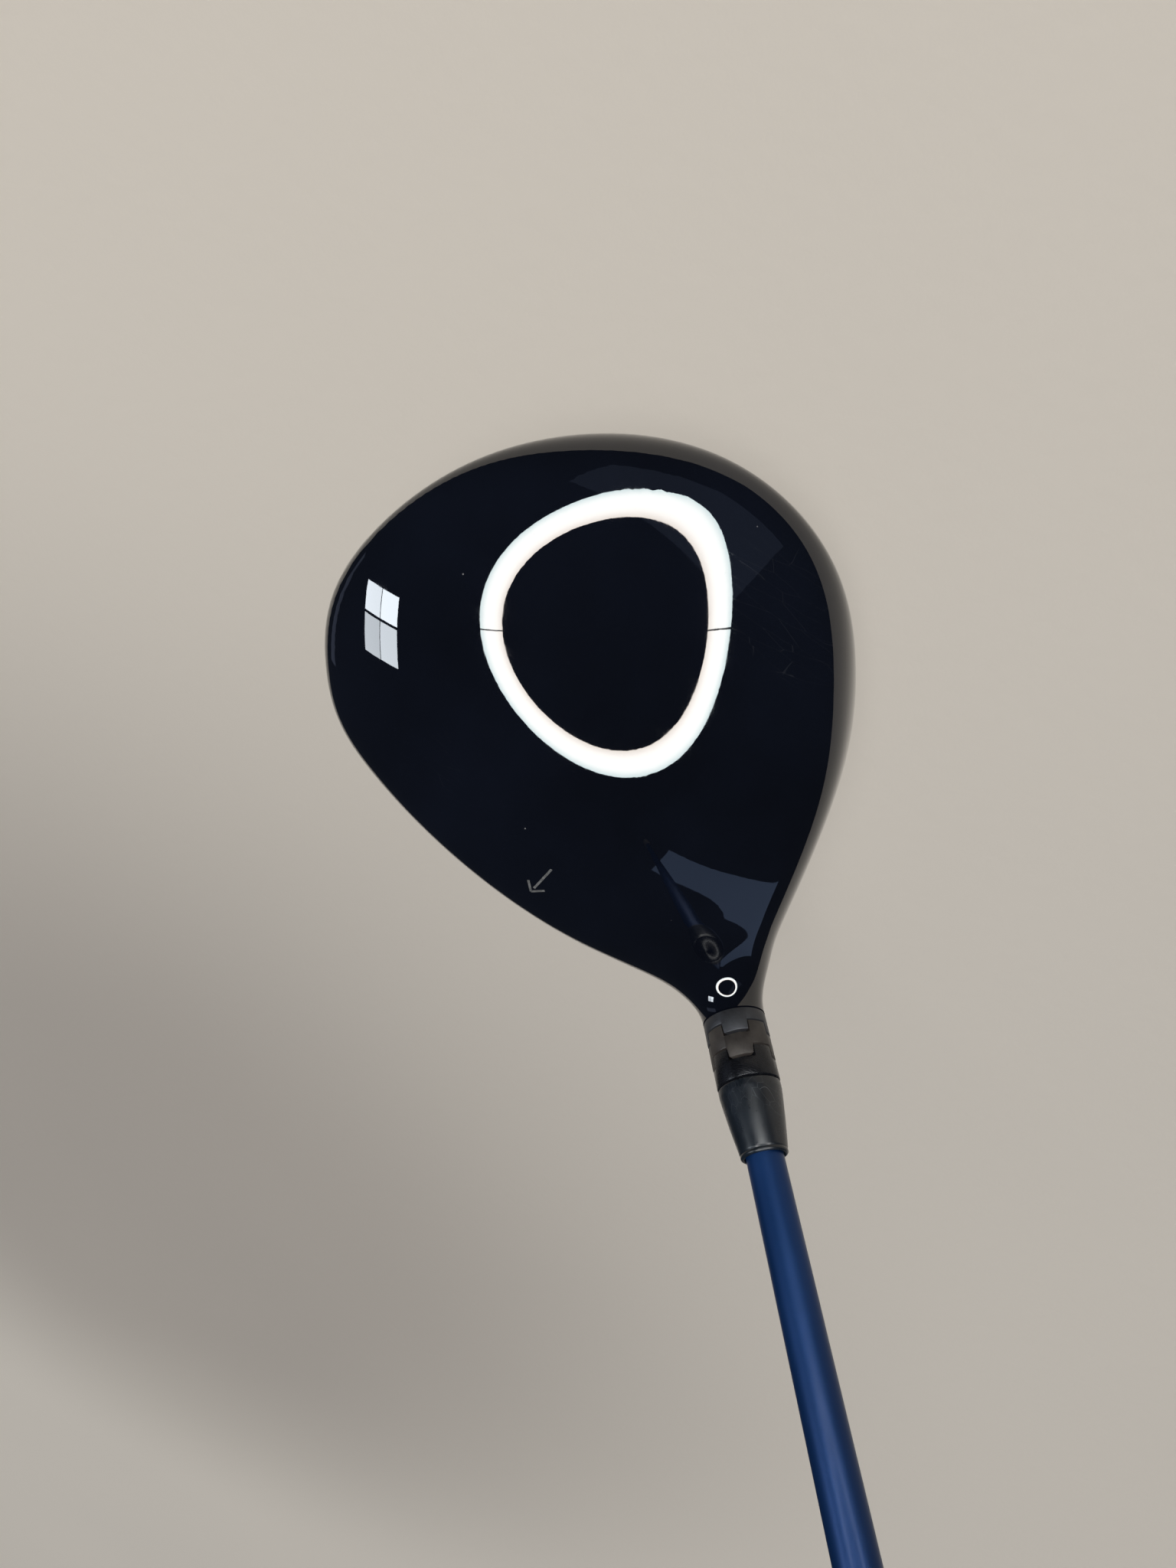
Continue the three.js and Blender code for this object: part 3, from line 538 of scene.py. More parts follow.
def skin(name, pole, rings, last):
    """Closed surface from a pole, rings of points and a last point. Millimetres in, metres out."""
    count, rows = len(rings[0]), len(rings)
    points = np.vstack([pole[None], *rings, last[None]]) * MM
    j = np.arange(count)
    following = (j + 1) % count
    quads = []
    for i in range(rows - 1):
        a, b = 1 + i * count, 1 + (i + 1) * count
        quads.append(np.stack([a + j, a + following, b + following, b + j], axis=1))
    quads = np.vstack(quads)
    start = np.stack([np.zeros_like(j), 1 + following, 1 + j], axis=1)
    a = 1 + (rows - 1) * count
    end = np.stack([a + j, a + following, np.full_like(j, len(points) - 1)], axis=1)
    return mesh_from(name, points, [*start.tolist(), *quads.tolist(), *end.tolist()])


def combine(mesh, operation, *others):
    """Boolean of closed meshes: UNION, DIFFERENCE or INTERSECT, one after another."""
    for other in others:
        subject = bpy.data.objects.new("subject", mesh)
        tool = bpy.data.objects.new("tool", other)
        for o in (subject, tool):
            bpy.context.scene.collection.objects.link(o)
        modifier = subject.modifiers.new("combine", "BOOLEAN")
        modifier.operation = operation
        modifier.solver = "MANIFOLD"
        modifier.object = tool
        dg = bpy.context.evaluated_depsgraph_get()
        result = bpy.data.meshes.new_from_object(subject.evaluated_get(dg))
        for o in (subject, tool):
            bpy.data.objects.remove(o)
        mesh = result
    return mesh


def lathe_mesh(name, profile, segments=96, closed=True):
    """Solid of revolution about local Z from (radius, height) corners, in metres, in order."""
    angle = 2 * np.pi * np.arange(segments) / segments
    points, rows = [], []
    for r, h in profile:
        if r < 1e-9:
            rows.append([len(points)] * segments)
            points.append((0.0, 0.0, h))
        else:
            rows.append(list(range(len(points), len(points) + segments)))
            points += [(r * math.cos(a), r * math.sin(a), h) for a in angle]
    faces = []
    pairs = list(zip(rows, rows[1:] + rows[:1])) if closed else list(zip(rows, rows[1:]))
    for low, high in pairs:
        if low[0] == low[1] and high[0] == high[1]:
            continue
        for k in range(segments):
            m = (k + 1) % segments
            corners = [low[k], low[m], high[m], high[k]]
            corners = [c for i, c in enumerate(corners) if c != corners[i - 1]]
            faces.append(corners)
    return mesh_from(name, points, faces)


def placed(mesh, matrix):
    mesh.transform(matrix)
    return mesh


def rounded(profile, radius, steps=5):
    """The same corners, each replaced by a small arc-like curve no wider than radius."""
    made = []
    count = len(profile)
    for i, point in enumerate(profile):
        here = np.array(point, float)
        before = np.array(profile[i - 1], float)
        after = np.array(profile[(i + 1) % count], float)
        gap_before, gap_after = np.linalg.norm(before - here), np.linalg.norm(after - here)
        on_axis = here[0] < 1e-9
        size = min(radius, 0.45 * gap_before, 0.45 * gap_after)
        if on_axis or size < 1e-6:
            made.append(tuple(here))
            continue
        start = here + (before - here) / gap_before * size
        end = here + (after - here) / gap_after * size
        for k in range(steps + 1):
            t = k / steps
            made.append(tuple((1 - t) ** 2 * start + 2 * t * (1 - t) * here + t**2 * end))
    return made


def shade(mesh, angle=35.0):
    """Smooth shading, with edges sharper than the angle kept crisp."""
    for polygon in mesh.polygons:
        polygon.use_smooth = True
    mesh.set_sharp_from_angle(angle=math.radians(angle))


def make_piece(name, mesh, body, material, slot, *nodes):
    piece = bpy.data.objects.new(name, mesh)
    mesh.name = name
    mesh.materials.clear()
    for m in material if isinstance(material, list) else [material]:
        mesh.materials.append(m)
    bpy.context.scene.collection.objects.link(piece)
    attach(piece, body)
    if nodes:
        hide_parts(*nodes)
    return piece


ON_SURFACE = 0.08  # millimetres: how near the head's surface a point counts as on it


def shade_head(mesh):
    """Exact normals on the outer surface, so that the gloss reflects without facets."""
    shade(mesh, 35)
    mesh.update()
    points = np.zeros(len(mesh.vertices) * 3)
    mesh.vertices.foreach_get("co", points)
    points = points.reshape(-1, 3) / MM
    outside = np.abs(head_field(points)) < ON_SURFACE
    exact = head_normal(points)
    normals = np.zeros(len(mesh.loops) * 3)
    mesh.corner_normals.foreach_get("vector", normals)
    normals = normals.reshape(-1, 3)
    corner_vertex = np.zeros(len(mesh.loops), int)
    mesh.loops.foreach_get("vertex_index", corner_vertex)
    size = np.zeros(len(mesh.polygons), int)
    mesh.polygons.foreach_get("loop_total", size)
    first = np.zeros(len(mesh.polygons), int)
    mesh.polygons.foreach_get("loop_start", first)
    flat = np.zeros(len(mesh.polygons) * 3)
    mesh.polygons.foreach_get("normal", flat)
    corner_flat = np.repeat(flat.reshape(-1, 3), size, axis=0)
    all_outside = np.repeat(np.minimum.reduceat(outside[corner_vertex], first), size)
    agrees = (corner_flat * exact[corner_vertex]).sum(1) > 0.8
    use = all_outside & agrees
    normals[use] = exact[corner_vertex[use]]
    mesh.normals_split_custom_set(normals.tolist())


# ---------------------------------------------------------------- head solids
WALL = {"crown": 1.2, "face": 3.0}
FINE = {"around": 280, "cap": 40, "middle": 90, "fan": 80}
COARSE = {"around": 70, "cap": 10, "middle": 22, "fan": 20}


def neck_end():
    return np.array((AXIS_X + NECK_TOP * math.cos(LIE), AXIS_Y, NECK_TOP * math.sin(LIE)))


def moved_in(p):
    normal = head_normal(p)
    facing = normal @ np.array((0.0, -math.cos(LOFT), math.sin(LOFT)))
    t = np.clip((facing - 0.9) / 0.08, 0, 1)
    wall = WALL["crown"] + (WALL["face"] - WALL["crown"]) * t * t * (3 - 2 * t)
    return p - normal * wall[..., None]


def head_shell():
    pole, rings = head_rings(**FINE)
    outer = skin("outer", pole, rings, neck_end())
    pole, rings = head_rings(**COARSE)
    inner_rings = [moved_in(r) for r in rings[:-5]]
    inner = skin("inner", moved_in(pole), inner_rings, inner_rings[-1].mean(axis=0))
    return outer, inner


CROWN_PANEL = {
    "centre": (-10.0, 15.0),
    "skirt_turn": 0.6,
    "skirt_scale": 20.0,
    "front_line": -20.4,
    "neck_clear": 24.0,
    "corner": 8.0,
    "bottom": 34.5,
    "cast_from": 34.0,
    "inset": 3.0,
}


def crown_outline(points=220):
    """Edge of the crown panel in plan: skirt, front line and the foot of the neck."""
    panel = CROWN_PANEL
    centre = np.array(panel["centre"])
    neck_x = AXIS_X + (NECK_TOP - 1) * math.cos(LIE)
    angle = 2 * np.pi * np.arange(points) / points
    ray = np.stack([np.cos(angle), np.sin(angle)], axis=1)

    def outside(r):
        flat = centre + ray * r[:, None]
        low = np.column_stack([flat, np.full(points, panel["cast_from"])])
        wall = head_field(low) > -panel["inset"]
        up = np.tile((0.0, 0.0, 1.0), (points, 1))
        safe = np.where(wall[:, None], np.array((*centre, panel["cast_from"])), low)
        top = cast_out(safe, up)
        skirt = (panel["skirt_turn"] - head_normal(top)[:, 2]) * panel["skirt_scale"]
        front = panel["front_line"] + flat[:, 0] ** 2 / (2 * FACE["bulge"]) - flat[:, 1]
        heel = panel["neck_clear"] - np.hypot(flat[:, 0] - neck_x, flat[:, 1] - AXIS_Y)
        edge = smooth_max(smooth_max(skirt, front, panel["corner"]), heel, panel["corner"])
        return wall | (edge > 0)

    low = np.full(points, 2.0)
    high = low.copy()
    found = np.zeros(points, bool)
    for r in np.arange(3.0, 90.0, 1.5):
        out = outside(np.full(points, r))
        high = np.where(found, high, r)
        low = np.where(found | out, low, r)
        found |= out
    for _ in range(12):
        middle = (low + high) / 2
        out = outside(middle)
        high = np.where(out, middle, high)
        low = np.where(out, low, middle)
    return centre + ray * high[:, None]


def prism(name, outline, low, high):
    """Upright prism on a closed outline, in the outline's units."""
    n = len(outline)
    points = [(x, y, low) for x, y in outline] + [(x, y, high) for x, y in outline]
    faces = [tuple(reversed(range(n))), tuple(range(n, 2 * n))]
    faces += [(i, (i + 1) % n, n + (i + 1) % n, n + i) for i in range(n)]
    return mesh_from(name, points, faces)


def oval(half_width, half_height, squareness, points):
    """Rounded oval round the origin; squareness 2 is an ellipse."""
    angle = 2 * np.pi * np.arange(points) / points
    power = 2 / squareness
    x = np.sign(np.cos(angle)) * np.abs(np.cos(angle)) ** power * half_width
    y = np.sign(np.sin(angle)) * np.abs(np.sin(angle)) ** power * half_height
    return np.stack([x, y], axis=1)


FACE_PLATE = {
    "x": -4.0,
    "z": 30.5,
    "half_width": 45.0,
    "half_height": 19.5,
    "squareness": 2.5,
    "tilt": 5.0,
    "reach": 9.0,
}
FACE_PLACE = (
    Matrix.Scale(MM, 4)
    @ Matrix.Translation((FACE_PLATE["x"], FACE["y"], FACE_PLATE["z"]))
    @ Matrix.Rotation(math.pi / 2 - LOFT, 4, "X")
    @ Matrix.Rotation(-math.radians(FACE_PLATE["tilt"]), 4, "Z")
)


def face_cutter():
    """Prism on the face plate's outline, square to the middle of the face."""
    outline = oval(FACE_PLATE["half_width"], FACE_PLATE["half_height"], FACE_PLATE["squareness"], 180)
    cutter = prism("face_cutter", outline, -FACE_PLATE["reach"], FACE_PLATE["reach"])
    return outward(placed(cutter, FACE_PLACE))


def disc(radius, low, high, matrix):
    """Closed cylinder about a matrix's Z, in millimetres."""
    profile = [(r * MM, h * MM) for r, h in ((0, low), (radius, low), (radius, high), (0, high))]
    return outward(placed(lathe_mesh("disc", profile, closed=False), matrix))


# ---------------------------------------------------------------- head pieces
SOLE_PANEL = {"centre": (-4.0, 10.0), "half_width": 44.0, "half_length": 34.0, "squareness": 2.6}
GROOVE = {"width": 0.7, "depth": 0.35, "above": 0.5, "low": -4.0, "high": 12.0, "fan": 8, "end_rings": 6}
REST_FLAT = {"reach": 30.0, "depth": 3.0}
SCREW_PORT = {"radius": 5.6, "low": -6.0, "high": 27.3, "retainer": 3.9, "shelf": 31.7}
BORE = {"radius": bore("hosel_collar") / MM, "tube": 7.6, "tube_top": 59.5}
POCKET = {
    "radius": 8.1,
    "depth": 4.6,
    "lip": 0.5,
    "lip_depth": 0.45,
    "hole": 4.4,
    "hole_depth": 9.6,
    "boss": 11.0,
    "boss_depth": 12.0,
}
SCORE = {
    "rows": 9,
    "spacing": 3.4,
    "half_width": 0.42,
    "depth": 0.4,
    "above": 0.6,
    "floor_share": 0.55,
    "gap": 15.0,
    "shortest": 17,
    "points": 36,
    "run_out": 6,
    "end_share": 0.08,
}


def sole_outline(grow):
    half_width, half_length = SOLE_PANEL["half_width"] + grow, SOLE_PANEL["half_length"] + grow
    return (oval(half_width, half_length, SOLE_PANEL["squareness"], 160) + SOLE_PANEL["centre"]) * MM


def offset_skin(pole, rings, distance):
    moved = [r + head_normal(r) * distance for r in rings]
    return skin("offset", pole + head_normal(pole) * distance, moved, moved[-1].mean(axis=0))


def sole_groove():
    """A shallow channel in the sole surface round the satin panel."""
    pole, rings = head_rings(FINE["around"], FINE["cap"], FINE["middle"], GROOVE["fan"])
    rings = rings[: -GROOVE["end_rings"]]
    above, below = offset_skin(pole, rings, GROOVE["above"]), offset_skin(pole, rings, -GROOVE["depth"])
    layer = combine(above, "DIFFERENCE", below)
    low, high = GROOVE["low"] * MM, GROOVE["high"] * MM
    outer = prism("band", sole_outline(GROOVE["width"]), low, high)
    inner = prism("band", sole_outline(0.0), low - MM, high + MM)
    return combine(combine(layer, "INTERSECT", outer), "DIFFERENCE", inner)


def score_line(z, start, end):
    """Cutter for one groove: a shallow trapezium swept across the face at one height."""
    points, faces = [], []
    half, depth, above = SCORE["half_width"], SCORE["depth"], SCORE["above"]
    low = half * SCORE["floor_share"]
    section = [(-half, above), (half, above), (low, -depth), (-low, -depth)]
    count = SCORE["points"]
    for x in np.linspace(start, end, count):
        from_end = min(abs(x - start), abs(end - x)) / abs(end - start)
        ease = min(1.0, SCORE["run_out"] * from_end + SCORE["end_share"])
        for across, out in section:
            height = z + across
            out = out if out > 0 else out * ease
            points.append((x, float(face_height(x, height)) - out, height))
    for i in range(count - 1):
        for k in range(4):
            a, b = 4 * i + k, 4 * i + (k + 1) % 4
            faces.append((a, b, b + 4, a + 4))
    faces.append((3, 2, 1, 0))
    last = 4 * (count - 1)
    faces.append((last, last + 1, last + 2, last + 3))
    return outward(mesh_from("score", np.array(points) * MM, faces))


def outward(mesh):
    """Faces turned to point outwards."""
    work = bmesh.new()
    work.from_mesh(mesh)
    bmesh.ops.recalc_face_normals(work, faces=work.faces)
    work.to_mesh(mesh)
    work.free()
    return mesh


def face_plate(shell):
    plate = combine(shell, "INTERSECT", face_cutter())
    middle, gap = FACE_PLATE["x"], SCORE["gap"]
    for row in range(SCORE["rows"]):
        step = row - (SCORE["rows"] - 1) / 2
        z = FACE_PLATE["z"] + step * SCORE["spacing"]
        half = FACE_PLATE["half_width"] * (1 - abs(2 * step / SCORE["rows"]) ** 3.0) * 0.5 + SCORE["shortest"]
        for start, end in ((middle - half, middle - gap), (middle + gap, middle + half)):
            plate = combine(plate, "DIFFERENCE", score_line(z, start, end))
    shade_head(plate)
    return plate


def head_body(outer, shell, crown_cutter):
    """The shell without crown and face, with its hosel tube, weight boss and every hole."""
    tube = disc(BORE["tube"], 0.0, BORE["tube_top"], HOSEL)
    boss = disc(POCKET["boss"], -3, POCKET["boss_depth"], WEIGHT_SURFACE)
    inside = combine(combine(tube, "UNION", boss), "INTERSECT", outer)
    body = combine(shell, "DIFFERENCE", crown_cutter, face_cutter())
    body = combine(body, "UNION", inside)
    cutters = [
        disc(BORE["radius"], SCREW_PORT["shelf"], NECK_TOP + 5, HOSEL),
        disc(SCREW_PORT["retainer"], SCREW_PORT["high"] - 1, SCREW_PORT["shelf"] + 1, HOSEL),
        disc(SCREW_PORT["radius"], SCREW_PORT["low"], SCREW_PORT["high"], HOSEL),
        disc(POCKET["radius"], -5, POCKET["depth"], WEIGHT_SURFACE),
        disc(POCKET["radius"] + POCKET["lip"], -5, POCKET["lip_depth"], WEIGHT_SURFACE),
        disc(POCKET["hole"], POCKET["depth"] - 1, POCKET["hole_depth"], WEIGHT_SURFACE),
        disc(REST_FLAT["reach"], -REST_FLAT["depth"], 0.0, Matrix.Identity(4)),
    ]
    body = combine(body, "DIFFERENCE", *cutters, sole_groove())
    shade_head(body)
    return body


def paint_sole(mesh):
    """Second material inside the sole's groove."""
    px, py = SOLE_PANEL["centre"]
    grow, power = 0.3, SOLE_PANEL["squareness"]
    for polygon in mesh.polygons:
        x, y, z = (c / MM for c in polygon.center)
        u = abs((x - px) / (SOLE_PANEL["half_width"] + grow))
        v = abs((y - py) / (SOLE_PANEL["half_length"] + grow))
        if z < GROOVE["high"] and u**power + v**power < 1 and polygon.normal.z < 0.2:
            polygon.material_index = 1


WEIGHT_DEPTH = span("rear_weight", WEIGHT_POINT, WEIGHT_IN)[0]
POCKET_DATUM = WEIGHT_POINT + WEIGHT_IN * (WEIGHT_DEPTH - 0.3 * MM)
WEIGHT_SURFACE = axis_frame(POCKET_DATUM, WEIGHT_IN)

outer, inner = head_shell()
outer, inner = outward(outer), outward(inner)
shell = combine(outer, "DIFFERENCE", inner)
crown_cutter = outward(prism("crown_cutter", crown_outline() * MM, CROWN_PANEL["bottom"] * MM, 0.075))
crown_mesh = combine(shell, "INTERSECT", crown_cutter)
shade_head(crown_mesh)
make_piece("crown_panel", crown_mesh, "head", look["crown"], "crown_paint", "crown_shell")
make_piece("face_insert", face_plate(shell), "head", look["face"], "face_metal", "face_plate")
body_mesh = head_body(outer, shell, crown_cutter)
make_piece("head_casting", body_mesh, "head", [look["body"], look["sole"]], "body_paint", "head_body")
paint_sole(body_mesh)

# ---------------------------------------------------------------- alignment mark on the crown
MARK = {
    "x": 1.2,
    "y": -16.4,
    "length": 8.0,
    "overlap": 1.2,
    "stroke": 0.55,
    "arm": 2.2,
    "lift": 0.03,
    "steps": 14,
}


def surface_ribbon(start, end, half):
    """A thin painted line that lies on the crown between two points of the plan."""
    start, end = np.array(start, float), np.array(end, float)
    along = (end - start) / np.linalg.norm(end - start)
    across = np.array((-along[1], along[0]))
    steps = MARK["steps"]
    plan = []
    for t in np.linspace(0, 1, steps):
        middle = start + (end - start) * t
        plan += [middle - across * half, middle + across * half]
    plan = np.array(plan)
    low = np.column_stack([plan, np.full(len(plan), CROWN_PANEL["cast_from"])])
    top = cast_out(low, np.tile((0.0, 0.0, 1.0), (len(plan), 1)))
    normal = head_normal(top)
    points = np.vstack([top + normal * MARK["lift"], top - normal * MARK["lift"]])
    n = len(plan)
    faces = []
    for i in range(steps - 1):
        a, b, c, d = 2 * i, 2 * i + 1, 2 * i + 3, 2 * i + 2
        faces += [(a, b, c, d), (a + n, d + n, c + n, b + n), (a, d, d + n, a + n), (b, b + n, c + n, c)]
    faces += [(0, n, n + 1, 1), (n - 2, n - 1, 2 * n - 1, 2 * n - 2)]
    return outward(mesh_from("ribbon", points * MM, faces))


def alignment_mark():
    """A slim arrow that points at the face: one line and two short arms."""
    x, y, half = MARK["x"], MARK["y"], MARK["length"] / 2
    arm, stroke = MARK["arm"], MARK["stroke"] / 2
    tip = y - half
    stem = surface_ribbon((x, y + half), (x, tip + MARK["overlap"]), stroke)
    arms = [surface_ribbon((x + side * arm, tip + arm), (x, tip), stroke) for side in (-1, 1)]
    return combine(stem, "UNION", *arms)


make_piece("crown_alignment_mark", alignment_mark(), "head", look["mark"], "crown_paint")

# ---------------------------------------------------------------- hosel pieces
TANG = {"count": 4, "height": 2.5 * MM, "width": math.radians(46), "phase": math.radians(45)}
GAP = 0.3 * MM
TANG_SLACK = GAP / reach("index_ring")
RAMP = math.radians(1.4)
CHAMFER = 0.16 * MM


def tang_share(angle, widen):
    """1 on a tang, 0 between tangs, with steep rounded flanks."""
    turn = 2 * math.pi / TANG["count"]
    from_middle = np.abs((angle - TANG["phase"] + turn / 2) % turn - turn / 2)
    t = np.clip((TANG["width"] / 2 + widen + RAMP / 2 - from_middle) / RAMP, 0, 1)
    return t * t * (3 - 2 * t)


def tang_angles(widen):
    """Angles round the hosel, closer together at the tangs' flanks."""
    even = np.linspace(0, 2 * math.pi, 144, endpoint=False)
    turn = 2 * math.pi / TANG["count"]
    flanks = []
    for i in range(TANG["count"]):
        middle = TANG["phase"] + i * turn
        for side in (-1, 1):
            edge = middle + side * (TANG["width"] / 2 + widen)
            flanks += list(edge + np.linspace(-0.55, 0.55, 9) * RAMP)
    angles = np.sort(np.concatenate([even, np.array(flanks) % (2 * math.pi)]))
    return angles[np.concatenate([[True], np.diff(angles) > 1e-4])]


def toothed_sleeve(name, inner, outer, low, high, notch=0.0, tooth=0.0, barrel=None):
    """Ring about the shaft axis whose ends may have notches (low end) and tangs (high end)."""
    angles = tang_angles(TANG_SLACK if notch else 0.0)
    points, faces = [], []
    for angle in angles:
        bottom = low + notch * tang_share(angle, TANG_SLACK)
        top = high + tooth * tang_share(angle, 0.0)
        section = [
            (inner, bottom),
            (outer - CHAMFER, bottom),
            (outer - 0.3 * CHAMFER, bottom + 0.3 * CHAMFER),
            (outer, bottom + CHAMFER),
            (outer, top - CHAMFER),
            (outer - 0.3 * CHAMFER, top - 0.3 * CHAMFER),
            (outer - CHAMFER, top),
            (inner, top),
        ]
        if barrel:
            radius, end, hole = barrel
            section = [(hole, end), (radius, end), (radius, bottom), *section[1:7], (hole, top)]
        points += [(r * math.cos(angle), r * math.sin(angle), h) for r, h in section]
    k = len(section)
    n = len(angles)
    for i in range(n):
        a, b = i * k, (i + 1) % n * k
        for c in range(k):
            d = (c + 1) % k
            faces.append((a + c, b + c, b + d, a + d))
    mesh = outward(mesh_from(name, points, faces))
    shade(mesh, 32)
    # The top chamfer gets the second material: rubbed wear and a painted highlight along the bevel.
    top_edge = (k - 4, k - 3)
    for polygon in mesh.polygons:
        polygon.material_index = int(polygon.index % k in top_edge)
    return placed(mesh, HOSEL)


def lathe_piece(name, profile, body, material, slot, *nodes, matrix=HOSEL, segments=96, round_by=0.15 * MM):
    mesh = outward(lathe_mesh(name, rounded(profile, round_by), segments))
    shade(mesh, 32)
    return make_piece(name, placed(mesh, matrix), body, material, slot, *nodes)


collar_low, collar_high = span("hosel_collar")
ring_low, ring_high = span("index_ring")
sleeve_low, sleeve_high = span("adapter_sleeve")
ferrule_low, ferrule_high = span("ferrule")
tang = TANG["height"]
collar = toothed_sleeve(
    "collar", bore("hosel_collar"), reach("hosel_collar"), collar_low, collar_high - tang, tooth=tang
)
collar_looks = [look["collar"], look["edge"]]
make_piece("hosel_collar_band", collar, "head", collar_looks, "collar_metal", "hosel_collar")
ring = toothed_sleeve(
    "ring", bore("index_ring"), reach("index_ring"), ring_low, ring_high - tang, notch=tang + GAP, tooth=tang
)
ring_looks = [look["ring"], look["edge"]]
make_piece("hosel_index_ring", ring, "shaft_assembly", ring_looks, "ring_polymer", "index_ring")
sleeve = toothed_sleeve(
    "sleeve",
    bore("index_ring"),
    reach("adapter_sleeve"),
    ring_high - tang + GAP,
    sleeve_high,
    notch=tang + GAP,
    barrel=(bore("index_ring") - GAP, sleeve_low, bore("ferrule")),
)
sleeve_looks = [look["sleeve"], look["edge"]]
make_piece(
    "hosel_adapter_sleeve", sleeve, "shaft_assembly", sleeve_looks, "sleeve_anodised", "adapter_sleeve"
)


def ferrule_profile():
    wide, hole = reach("ferrule"), bore("ferrule")
    mouth = reach("ferrule", ferrule_high - 0.6 * MM, ferrule_high - 0.4 * MM)
    straight = ferrule_low + 1.8 * MM
    taper = []
    for t in np.linspace(0, 1, 9):
        belly = 0.10 * MM * math.sin(math.pi * t)
        place = straight + (ferrule_high - 1.3 * MM - straight) * t
        taper.append((wide + (mouth + 0.06 * MM - wide) * t + belly, place))
    return [
        (hole, ferrule_low),
        (wide - 0.25 * MM, ferrule_low),
        (wide, ferrule_low + 0.3 * MM),
        *taper,
        (mouth - 0.12 * MM, ferrule_high - 1.0 * MM),
        (mouth, ferrule_high - 0.75 * MM),
        (mouth, ferrule_high - 0.35 * MM),
        (mouth - 0.3 * MM, ferrule_high - 0.03 * MM),
        (hole, ferrule_high),
    ]


lathe_piece(
    "shaft_ferrule", ferrule_profile(), "shaft_assembly", look["ferrule"], "ferrule_plastic", "ferrule",
    round_by=0.2 * MM,
)

# ---------------------------------------------------------------- shaft
SHAFT_TIP_TO = 98 * MM
SHAFT_WALL = 1.3 * MM
shaft_low, shaft_high = span("shaft")
shaft_tip = reach("shaft", shaft_low - MM, shaft_low + MM)
shaft_butt = reach("shaft", shaft_high - MM, shaft_high + MM)


def shaft_radius(place):
    share = max(place - SHAFT_TIP_TO, 0) / (shaft_high - SHAFT_TIP_TO)
    return shaft_tip + (shaft_butt - shaft_tip) * share


def shaft_profile():
    stations = [shaft_low, *np.linspace(SHAFT_TIP_TO, shaft_high, 40)]
    outside = [(shaft_radius(s), s) for s in stations]
    inside = [(shaft_radius(s) - SHAFT_WALL, s) for s in (shaft_high, SHAFT_TIP_TO, shaft_low)]
    return outside + inside


lathe_piece("club_shaft", shaft_profile(), "shaft_assembly", look["shaft"], "shaft_paint", "shaft")

# ---------------------------------------------------------------- grip
grip_low, grip_high = span("grip")
GRIP_SHAPE = [(0.0, 8.9), (0.25, 9.75), (0.5, 10.55), (0.756, 11.4), (0.932, 12.5), (1.0, 13.4)]
GRIP_ROWS = 420
GRIP_AROUND = 132
KNURL = {"around": 22, "along": 48, "bands": 9, "depth": 0.32, "plain_end": 0.045}
MOUTH_LIP = {"depth": 1.5, "steepness": 90}


def grip_radius(t):
    """Outer radius of the grip, from its mouth (0) to its butt (1), in millimetres."""
    places, radii = zip(*GRIP_SHAPE)
    return np.interp(t, places, radii)


def grip_relief(t, angle):
    """Depth of the moulded pattern: diamond pockets in bands, rings between them, a plain front stripe."""
    end = KNURL["plain_end"]
    bands = np.clip(np.sin(np.pi * (t * KNURL["bands"] - 0.25)) * 6 + 4.2, 0, 1)
    ends = np.clip((t - end) * 60, 0, 1) * np.clip((1 - end - t) * 60, 0, 1)
    first = np.sin(KNURL["around"] * angle + KNURL["along"] * 2 * t * np.pi)
    second = np.sin(KNURL["around"] * angle - KNURL["along"] * 2 * t * np.pi)
    pocket = np.clip((first * second - 0.25) * 2.6, 0, 1)
    rings = np.clip(1 - np.abs((t * KNURL["bands"] - 0.75) % 1 - 0.5) * 60, 0, 1) * 0.8
    front = np.clip(1 - np.abs(np.angle(np.exp(1j * (angle - math.pi / 2)))) * 11, 0, 1)
    return (pocket * bands * (1 - front) + rings + front * 0.25) * ends * KNURL["depth"]


def grip_mesh():
    angle = 2 * np.pi * np.arange(GRIP_AROUND) / GRIP_AROUND
    hole = bore("grip")
    wide_hole = hole + shaft_radius(grip_high) - shaft_radius(grip_low)
    rows, places = [np.full(GRIP_AROUND, hole)], [grip_low]
    for t in np.linspace(0, 1, GRIP_ROWS):
        radius = grip_radius(t) - grip_relief(t, angle)
        lip = MOUTH_LIP["depth"] * max(0.0, 1 - t * MOUTH_LIP["steepness"]) ** 2
        rows.append((radius - lip) * MM)
        places.append(grip_low + (grip_high - grip_low) * t)
    rows.append(np.full(GRIP_AROUND, wide_hole))
    places.append(grip_high)
    cosine, sine = np.cos(angle), np.sin(angle)
    points = np.vstack(
        [np.column_stack([r * cosine, r * sine, np.full(GRIP_AROUND, s)]) for r, s in zip(rows, places)]
    )
    j = np.arange(GRIP_AROUND)
    following = (j + 1) % GRIP_AROUND
    faces = []
    for i in range(len(rows)):
        a, b = i * GRIP_AROUND, (i + 1) % len(rows) * GRIP_AROUND
        faces += np.stack([a + j, a + following, b + following, b + j], axis=1).tolist()
    mesh = outward(mesh_from("grip", points, faces))
    shade(mesh, 50)
    return placed(mesh, HOSEL)


make_piece("rubber_grip", grip_mesh(), "shaft_assembly", look["grip"], "grip_rubber", "grip")

